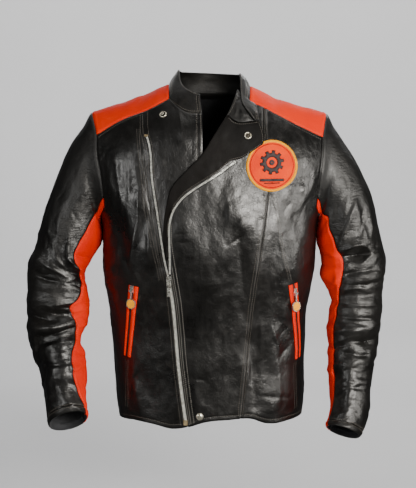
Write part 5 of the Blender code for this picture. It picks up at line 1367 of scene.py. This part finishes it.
def dress_sleeves(grids):
    made = {}
    for name, (side, *tables) in SLEEVES.items():
        grid, normal = sleeve_grid(*armhole_loop(grids, side), side, *tables)
        count = grid.shape[1]
        strip = np.arange(-STRIP_STEPS, STRIP_STEPS + 1)
        body = np.arange(STRIP_STEPS, count - STRIP_STEPS + 1)
        for piece, columns, finish, slot in (
            ("sleeve_strip_", strip, STRIP_ORANGE, "leather_orange"),
            ("sleeve_", body, SLEEVE_BLACK, "leather_black"),
        ):
            columns = columns[::-side] % count
            made[piece + name] = leather_piece(
                piece + name, grid[:, columns], normal[:, columns], WALL, finish, slot, "hung",
                inside=LINING, seams="lrb", free="t", grooves=[("t", 0.0125, 0.0020)],
            )
    return made

def lapel_out(x):
    """How far the lapel's face lies over the left front, most at its point."""
    return LAPEL_RISE + 0.0014 * soft_step((x - 0.050) / 0.035)

def lapel_points(flat, out):
    spots = angle_of(flat.reshape(-1, 2)).reshape(flat.shape)
    return torso(spots[..., 0], spots[..., 1], out, lapped=True)[0]

def dress_lapel():
    """The turned-back lapel, rounded at the roll line and lying free beyond it."""
    roll = along(ROLL_LINE, LAPEL_STEPS)
    zip_side = beside(LEFT_ZIP_LINE[1:], -ZIP_HALF - 0.0017)
    outer = along(np.concatenate([zip_side, LAPEL_POINT]), LAPEL_STEPS)
    top = joined(along(LAPEL_TOP, 24), along(LAPEL_END[::-1], 12))
    roll[-1], outer[-1] = top[0], top[-1]
    keep = coons(roll, outer, np.linspace(roll[0], outer[0], len(top)), top)[:, 1:]
    away = beside(roll, 1.0) - roll
    turn = np.radians(np.linspace(-25, 78, 7))
    edge = np.stack([roll - (0.0006 + ROLL_RADIUS * np.cos(t)) * away for t in turn], axis=1)
    edge_out = np.tile(0.0010 + ROLL_RADIUS * np.sin(turn), (len(roll), 1))
    width = np.linalg.norm(keep[:, -1] - roll, axis=1)
    from_roll = np.linspace(0, 1, len(top))[None, 1:] * width[:, None]
    out = lapel_out(keep[..., 0]) - 0.0003 * np.exp(-from_roll / 0.004)
    place = np.stack([keep[..., 0], 0 * keep[..., 0], keep[..., 1]], axis=2)
    out = out + waves(place, *LAPEL_WAVES) * soft_step(from_roll / 0.01)
    grid = lapel_points(np.concatenate([edge, keep], axis=1), np.concatenate([edge_out, out], axis=1))
    return leather_piece("lapel", grid, grid_normals(grid), WALL, MATT, "leather_matt", "folded", free="rt")

def collar_base(grids):
    """Base points, directions and flange of the collar, from its right end round to its left one."""
    first = LEFT_SIDE_STEPS + LEFT_YOKE_STEPS
    foot, foot_normal = on_front(along(COLLAR_FOOT_LEFT, COLLAR_END_STEPS), 0.0005)
    runs = []
    for kind, inward, end in ((0, 0, foot), (1, 0, foot_normal), (0, 3, foot)):
        right_front = grids["front_right_inner"][kind][-1 - inward, RIGHT_INNER_YOKE_STEPS:][::-1]
        right = grids["yoke_right"][kind][:, -1 - inward]
        behind = grids["back_panel"][kind][-1 - inward, first : first + NECK_BACK_STEPS + 1][::-1]
        left = grids["yoke_left"][kind][:, inward][::-1]
        runs.append(joined(right_front, right, behind, left, end))
    base, normal, flange = runs
    return base, normal, flange - 0.0019 * normal

def collar_grid(grids):
    """The stand collar from its base row to its top edge, and the place of each column along it."""
    base, normal, flange = collar_base(grids)
    counts = [NECK_RIGHT_STEPS, YOKE_STEPS, NECK_BACK_STEPS, YOKE_STEPS, COLLAR_END_STEPS]
    place = joined(*[np.linspace(i, i + 1, count + 1) for i, count in enumerate(counts)])
    base = base + (0.0006 + 0.0015 * soft_step((place - 3.5) / 0.5))[:, None] * normal
    top = smooth(place, COLLAR_TOP[:, 0], COLLAR_TOP[:, 1:])
    rows = np.linspace(0, 1, COLLAR_STEPS + 1)[:, None, None]
    bulge = unit(np.cross(top - base, unit(np.gradient(top, axis=0))))
    share = rows[..., 0] * np.ones(len(place))
    spot = np.stack([share * 0.045, place * 0.05 + 0 * share, 0 * share], axis=-1)
    rumple = waves(spot, *COLLAR_WAVES) * np.sin(pi * share) ** 0.7
    grid = base + rows * (top - base) + (0.002 * np.sin(pi * share) + rumple)[..., None] * bulge
    hidden = [flange, 0.5 * (flange + base) - 0.0012 * normal, base - 0.0010 * normal]
    return np.concatenate([hidden, grid[:1] - 0.0003 * normal, grid[1:]]), place

def facing_grid(collar, place):
    """The inner collar face beyond the left end, from behind the collar's top edge to its neck-side edge."""
    start = int(np.argmin(np.abs(place - 4.0)))
    normal = unit(np.cross(collar[-1] - collar[-2], np.gradient(collar[-1], axis=0)))
    outer = (collar[-1] - (COLLAR_WALL + 0.0004) * normal)[start:]
    inner = along(FACING_INNER, len(outer) - 1)[::-1]
    flat = along(LAPEL_TOP, COLLAR_END_STEPS)
    low = (lapel_points(flat, lapel_out(flat[:, 0])) + (0, 0, 0.0015))[::-1]
    low[0], low[-1] = outer[-1], inner[-1]
    high = np.linspace(outer[0], inner[0], len(low))
    return coons(high, low, outer, inner).transpose(1, 0, 2)

def dress_neck(grids):
    """The stand collar and the crumpled inner face at its open left end."""
    collar, place = collar_grid(grids)
    turned = collar[:, ::-1]
    look = (COLLAR_BLACK, "leather_black", "folded")
    made = {"collar": leather_piece("collar", turned, grid_normals(turned), COLLAR_WALL, *look, free="lrt")}
    facing = facing_grid(collar, place)
    crumple = 0.0016 * (1 - 2 * np.abs(lattice_noise(facing, 0.011, 81))) + waves(facing, (0.0008, 0.005, 82))
    crumple = crumple * middle_share(facing) ** 0.5
    outward = grid_normals(facing)
    facing = facing + crumple[..., None] * outward
    made["collar_facing"] = leather_piece("collar_facing", facing, outward, WALL, *look, free="lrbt")
    return made

def cut_line(line, low, high):
    """The part of a rising line between two heights."""
    line = np.asarray(line, float)
    inside = [tuple(p) for p in line if low + 0.002 < p[1] < high - 0.002]
    ends = [(np.interp(z, line[:, 1], line[:, 0]), z) for z in (low, high)]
    return [ends[0], *inside, ends[1]]

def dress_main_zip():
    """Two rows of teeth that mesh where the zip is closed, and one row on each open half."""
    closed = cut_line(ZIP_LINE, ZIP_BOX_TOP, SLIDER_AT[1] + 0.004)
    right = cut_line(ZIP_LINE, SLIDER_AT[1] + 0.006, ZIP_STOP_FOOT)
    pitch, rise = 0.0025, (0.0016, 0.0014)
    meshed = [(-0.0012, 0.0), (0.0012, pitch / 2)]
    tooth, open_tooth = (0.0015, 0.0035, 0.0014), (0.0016, 0.0034, 0.0016)
    zip_row("zip_closed", closed, ZIP_CLOSED_HALF, rise, meshed, pitch, tooth, ZIP_STEEL)
    zip_row("zip_half_right", right, ZIP_HALF, rise, [(0.0006, 0.0)], pitch, open_tooth, ZIP_STEEL)
    open_left = [(-0.0006, 0.0)]
    zip_row("zip_half_left", LEFT_ZIP_LINE, ZIP_HALF, rise, open_left, pitch, open_tooth, ZIP_STEEL, True)

def dress_pockets():
    """Two rounded welts beside each slit, each with its row of stitches, and the closed zip between them."""
    pitch, tooth = 0.0022, (0.0011, 0.0022, 0.0010)
    meshed = [(-0.0007, 0), (0.0007, pitch / 2)]
    runs = []
    for side, (slit, sign) in POCKETS.items():
        centre, normal = on_front(along(slit, 60))
        across = unit(np.cross(np.gradient(centre, axis=0), normal))
        taper = np.linspace(0.82, 1.0, len(centre))
        for part, (near, far) in POCKET_WELTS.items():
            direction = sign if part == "outer" else -sign
            columns = []
            for share in np.linspace(0, 1, 15)[::direction]:
                reach = direction * (near + share * (far - near) * taper)
                roundness = np.sin(pi * np.clip(0.5 - 0.5 * np.cos(pi * share), 0.06, 0.94)) ** 0.45
                columns.append(centre + reach[:, None] * across + (0.0008 + 0.0016 * roundness) * normal)
            grid = np.stack(columns, axis=1)
            welt = leather_piece(
                f"pocket_welt_{side}_{part}", grid, grid_normals(grid), WELT_WALL, STRIP_ORANGE,
                "leather_orange", "folded", free="lrbt",
            )
            runs.append(inset(*welt, "r" if direction > 0 else "l", 0.0018, 0.002))
        # The pocket teeth are near-black steel: painted shade for the closed zip in shadow between its welts.
        zip_row(
            f"pocket_zip_{side}", slit, 0.0019, (0.0010, 0.0008), meshed, pitch, tooth, PAINTED_SHADE_STEEL, steps=100
        )
    sew("pocket_stitches", runs, ORANGE_THREAD, "leather_orange", 0.0030, 0.0024, 0.00035)

def lathe(name, profile, matrix, finishes, dark):
    """A turned piece from a closed profile of (radius, height) points, whose first and last lie on the axis.

    The steps of the profile named in dark take the second finish."""
    # For the snaps the second finish is near-black steel, painted shade in their recesses.
    steps = 48
    turn = np.linspace(0, 2 * pi, steps, endpoint=False)
    ring = np.stack([np.cos(turn), np.sin(turn), 0 * turn], axis=1)
    points = np.concatenate([radius * ring + (0, 0, height) for radius, height in profile[1:-1]])
    points = np.concatenate([points, [(0, 0, profile[0][1]), (0, 0, profile[-1][1])]])
    top, low = len(points) - 2, len(points) - 1
    last = top - steps
    faces, slots = [], []
    for i in range(steps):
        after = (i + 1) % steps
        faces.append((top, i, after))
        for here in range(0, last, steps):
            there = here + steps
            faces.append((here + i, there + i, there + after, here + after))
        faces.append((last + i, low, last + after))
        slots += [int(step in dark) for step in range(len(profile) - 2)] + [0]
    points = [tuple(matrix @ Vector(point)) for point in points]
    return mesh_object(name, points, faces, finishes, slots)

def seated_frame(spot, out, lapped=False):
    """Frame whose Z is square to the leather, for a flat fitting."""
    point, normal = on_front([spot], out, lapped)
    matrix = Vector(normal[0]).to_track_quat("Z", "Y").to_matrix().to_4x4()
    matrix.translation = Vector(point[0])
    return matrix

def dress_snaps():
    places = {
        "snap_ring": seated_frame(LAPEL_RING_AT, lapel_out(LAPEL_RING_AT[0])),
        "snap_stud": seated_frame(STUD_AT, -0.0004),
        "snap_hem": seated_frame(HEM_SNAP_AT, 0.0, lapped=True),
    }
    for name, (dark, *profile) in SNAPS.items():
        sizes = [(radius / 1000, height / 1000) for radius, height in profile]
        # The sunk steps take the near-black steel of painted shade.
        made = lathe(name + "_turned", sizes, places[name], [SNAP_STEEL, PAINTED_SHADE_STEEL], dark)
        placed(made, "jacket", "snap_metal", name)

def disc_points(centre, radius, steps, out):
    """A round patch on the front as a square grid of points."""
    side = np.linspace(-1, 1, steps + 1)
    u, v = np.meshgrid(side, side)
    x = centre[0] + radius * u * np.sqrt(1 - v * v / 2)
    z = centre[1] + radius * v * np.sqrt(1 - u * u / 2)
    points, normals = on_front(np.stack([x.ravel(), z.ravel()], axis=1), out)
    return points.reshape(steps + 1, steps + 1, 3), normals.reshape(steps + 1, steps + 1, 3)

def round_run(centre, radius, count, out=0.0):
    """Points and directions on the front, all the way round a centre."""
    turn = np.linspace(0, 2 * pi, count, endpoint=False)
    spots = np.stack([centre[0] + radius * np.cos(turn), centre[1] + radius * np.sin(turn)], axis=1)
    return on_front(spots, out)

def ring_shell(name, centre, sections, wall, finish, slot, *nodes):
    """A closed ring on the front, from (radius, height) rows of a number or one number for each column."""
    count = max(np.size(value) for section in sections for value in section)
    rings = [(*round_run(centre, radius, count), height) for radius, height in sections]
    grid = np.array([points + (height * np.ones(count))[:, None] * out for points, out, height in rings])
    made = shell(name, grid, np.array([out for _, out, _ in rings]), wall, finish, wrap=True)[0]
    return placed(made, "jacket", slot, *nodes)

def motif(name, centre, inner, outer):
    """A raised thread shape on the badge, between an inner radius and outer radii by angle."""
    sections = [(outer + share * (inner - outer), 0.0017 + up * 0.0013) for share, up in MOTIF_SECTION]
    ring_shell(name, centre, sections, 0.0005, DARK_THREAD, "leather_black")

def bar_radii(half_width, half_height):
    """Outline of a bar, as radii by angle round its middle."""
    turn = np.linspace(0, 2 * pi, 288, endpoint=False)
    cosine, sine = (np.maximum(np.abs(way(turn)), 1e-6) for way in (np.cos, np.sin))
    return np.minimum(half_width / cosine, half_height / sine)

def dress_badge():
    """The round chest badge: cloth, a ribbed border, a ring of stitches, and a cog over two bars."""
    inner = BADGE_RADIUS - BADGE_BORDER
    grid, normals = disc_points(BADGE_CENTRE, inner + 0.0010, 44, 0.0015)
    made = shell("badge_patch", grid, normals, 0.0010, BADGE_CLOTH)[0]
    placed(made, "jacket", "leather_orange", "badge")
    ribs = 0.00022 * np.tile([1.0, -0.6], BADGE_RIBS)
    sections = []
    for share in np.linspace(0, 1, 11):
        swell = np.sin(pi * share) ** 0.6
        height = 0.0009 + 0.0019 * swell + ribs * (0.35 + 0.65 * swell)
        sections.append((BADGE_RADIUS - share * BADGE_BORDER, height))
    look = (BORDER_THREAD, "border_yellow", "badge_border")
    ring_shell("badge_border_thread", BADGE_CENTRE, sections, 0.0009, *look)
    ring = round_run(BADGE_CENTRE, inner - 0.0026, 2 * BADGE_RIBS, 0.0017)
    sew("badge_ring", [ring], RING_THREAD, "leather_orange", 0.0021, 0.0019, 0.0009)
    x, z = BADGE_CENTRE
    teeth = soft_step(0.5 + 2.6 * np.sin(10 * np.linspace(0, 2 * pi, 360, endpoint=False)))
    motif("badge_cog", (x, z + 0.0065), 0.0098, 0.0178 + 0.0048 * teeth)
    motif("badge_dot", (x, z + 0.0065), 0.0008, np.full(60, 0.0052))
    motif("badge_bar", (x, z - 0.0262), 0.0003, bar_radii(0.0230, 0.0026))
    motif("badge_line", (x, z - 0.0318), 0.0003, bar_radii(0.0150, 0.0010))

def stitch_runs(body, rows):
    """Runs beside the edges of pieces, from rows of piece names, their sides and distances from the edge."""
    return [
        inset(*body[name], side, distance)
        for names, sides, distances in rows
        for distance in distances
        for name in names.split()
        for side in sides
    ]

def dress_stitching(body):
    """Rows of stitches beside the seams and edges."""
    sew("black_stitches", stitch_runs(body, BLACK_ROWS), BLACK_THREAD_PAINTED_HIGHLIGHT, "leather_black")
    sew("zip_stitches", stitch_runs(body, ZIP_ROWS), ZIP_THREAD_PAINTED_HIGHLIGHT, "leather_black", 0.0040, 0.0027, 0.00075)
    sew("orange_stitches", stitch_runs(body, ORANGE_ROWS), ORANGE_THREAD, "leather_orange")
    lapped = [
        on_front(along(beside(line, side * offset), 80))
        for side, line in LAPPED_SEAMS
        for offset in (-0.0030, -0.0075)
    ]
    sew("seam_stitches", lapped, BLACK_THREAD_PAINTED_HIGHLIGHT, "leather_black")

KEPT = {  # finish of every solid that stays in sight
    BRASS: ("zip_box", "zip_stop"),
    PULL_STEEL: (
        "zip_slider", "zip_pull", "pocket_slider_right", "pocket_slider_left", "pocket_pull_right",
        "pocket_pull_left",
    ),
    YELLOW_ENAMEL: ("pocket_disc_right", "pocket_disc_left"),
}

def finish_kept():
    for finish, names in KEPT.items():
        for name in names:
            for slot in bpy.data.objects[name].material_slots:
                slot.material = finish

# ---------------------------------------------------------------- stage

def build_camera():
    """The camera at the photograph's angle, level across and looking down by a few degrees."""
    data = bpy.data.cameras.new("camera")
    camera = linked("camera", data)
    bpy.context.scene.camera = camera
    sine, cosine = sin(CAMERA_LIFT), cos(CAMERA_LIFT)
    across, up = PHOTO_MIDDLE
    target = Vector((across * PIXEL, 0, up * PIXEL / cosine))
    forward = Vector((0, cosine, -sine))
    axes = (Vector((1, 0, 0)), Vector((0, sine, cosine)), -forward)
    matrix = Matrix(axes).transposed().to_4x4()
    matrix.translation = target - forward * CAMERA_DISTANCE
    camera.matrix_world = matrix
    data.sensor_fit = "VERTICAL"
    data.sensor_height = SENSOR_HEIGHT
    data.lens = SENSOR_HEIGHT * CAMERA_DISTANCE / (PHOTO_HEIGHT * PIXEL)
    data.clip_end = 50

def pale_paper():
    """Pale paper that glows a little more for the camera, the farther it is from the part."""
    n = Nodes("pale_paper")
    shade = n.mix(n.span(n.noise(1.2, 2.0), 0.0, 1.0, 0.3, 0.7), (0.60, 0.60, 0.605), (0.64, 0.64, 0.645))
    away = n.add("ShaderNodeVectorMath", n.place, operation="LENGTH").outputs["Value"]
    seen = n.add("ShaderNodeLightPath").outputs["Is Camera Ray"]
    glow = n.math("MULTIPLY", n.span(away, 0.0, 0.40, 1.6, 4.2), seen)
    return n.set(Base_Color=shade, Roughness=0.9, Emission_Strength=glow, Emission_Color=(1.0, 1.0, 1.0))

def build_floor():
    """A pale floor that sweeps up behind. It isn't mirrored in the leather."""
    paper = pale_paper()
    bend = [(2.2 + 1.2 * sin(t), FLOOR_LEVEL + 1.2 * (1 - cos(t))) for t in np.linspace(0, pi / 2, 12)[1:]]
    for name, profile in {
        "floor": [(FLOOR_FRONT, FLOOR_LEVEL), (2.2, FLOOR_LEVEL), *bend, (3.4, 5.0)],
        "near_floor": [(-6.0, FLOOR_LEVEL), (FLOOR_FRONT, FLOOR_LEVEL)],
    }.items():
        points = [(x, y, z) for y, z in profile for x in (-6.0, 6.0)]
        faces = [(i, i + 1, i + 3, i + 2) for i in range(0, len(points) - 2, 2)]
        sweep = mesh_object(name, points, faces, [paper])
        sweep.visible_glossy = False

def build_lamps():
    for name, place, size, watts, colour in LAMPS:
        data = bpy.data.lights.new(name, "AREA")
        data.shape = "RECTANGLE"
        data.size, data.size_y = size
        data.energy = watts
        data.color = colour
        lamp = linked(name, data)
        lamp.location = place
        aim = (0, 3.0, 0.2) if name == "paper_lamp" else (0, 0, -0.28)
        lamp.rotation_euler = (Vector(aim) - Vector(place)).to_track_quat("-Z", "Y").to_euler()

def build_world():
    """A dim room that lights the part, and a paler one that the camera sees."""
    world = bpy.data.worlds.new("studio")
    world.use_nodes = True
    nodes, links = world.node_tree.nodes, world.node_tree.links
    room, seen = nodes["Background"], nodes.new("ShaderNodeBackground")
    for node, colour, strength in (
        (room, (0.80, 0.81, 0.83, 1), 0.050),
        (seen, (0.62, 0.62, 0.625, 1), 0.80),
    ):
        node.inputs["Color"].default_value = colour
        node.inputs["Strength"].default_value = strength
    ray, either = nodes.new("ShaderNodeLightPath"), nodes.new("ShaderNodeMixShader")
    sources = (ray.outputs["Is Camera Ray"], room.outputs[0], seen.outputs[0])
    for source, socket in zip(sources, either.inputs):
        links.new(source, socket)
    links.new(either.outputs[0], nodes["World Output"].inputs["Surface"])
    bpy.context.scene.world = world

def main():
    grids = torso_grids()
    body = dress_panels(grids) | dress_yokes(grids) | dress_sleeves(grids) | dress_neck(grids)
    body["lapel"] = dress_lapel()
    dress_main_zip()
    dress_pockets()
    dress_badge()
    dress_snaps()
    dress_stitching(body)
    finish_kept()
    build_camera()
    build_floor()
    build_lamps()
    build_world()

main()
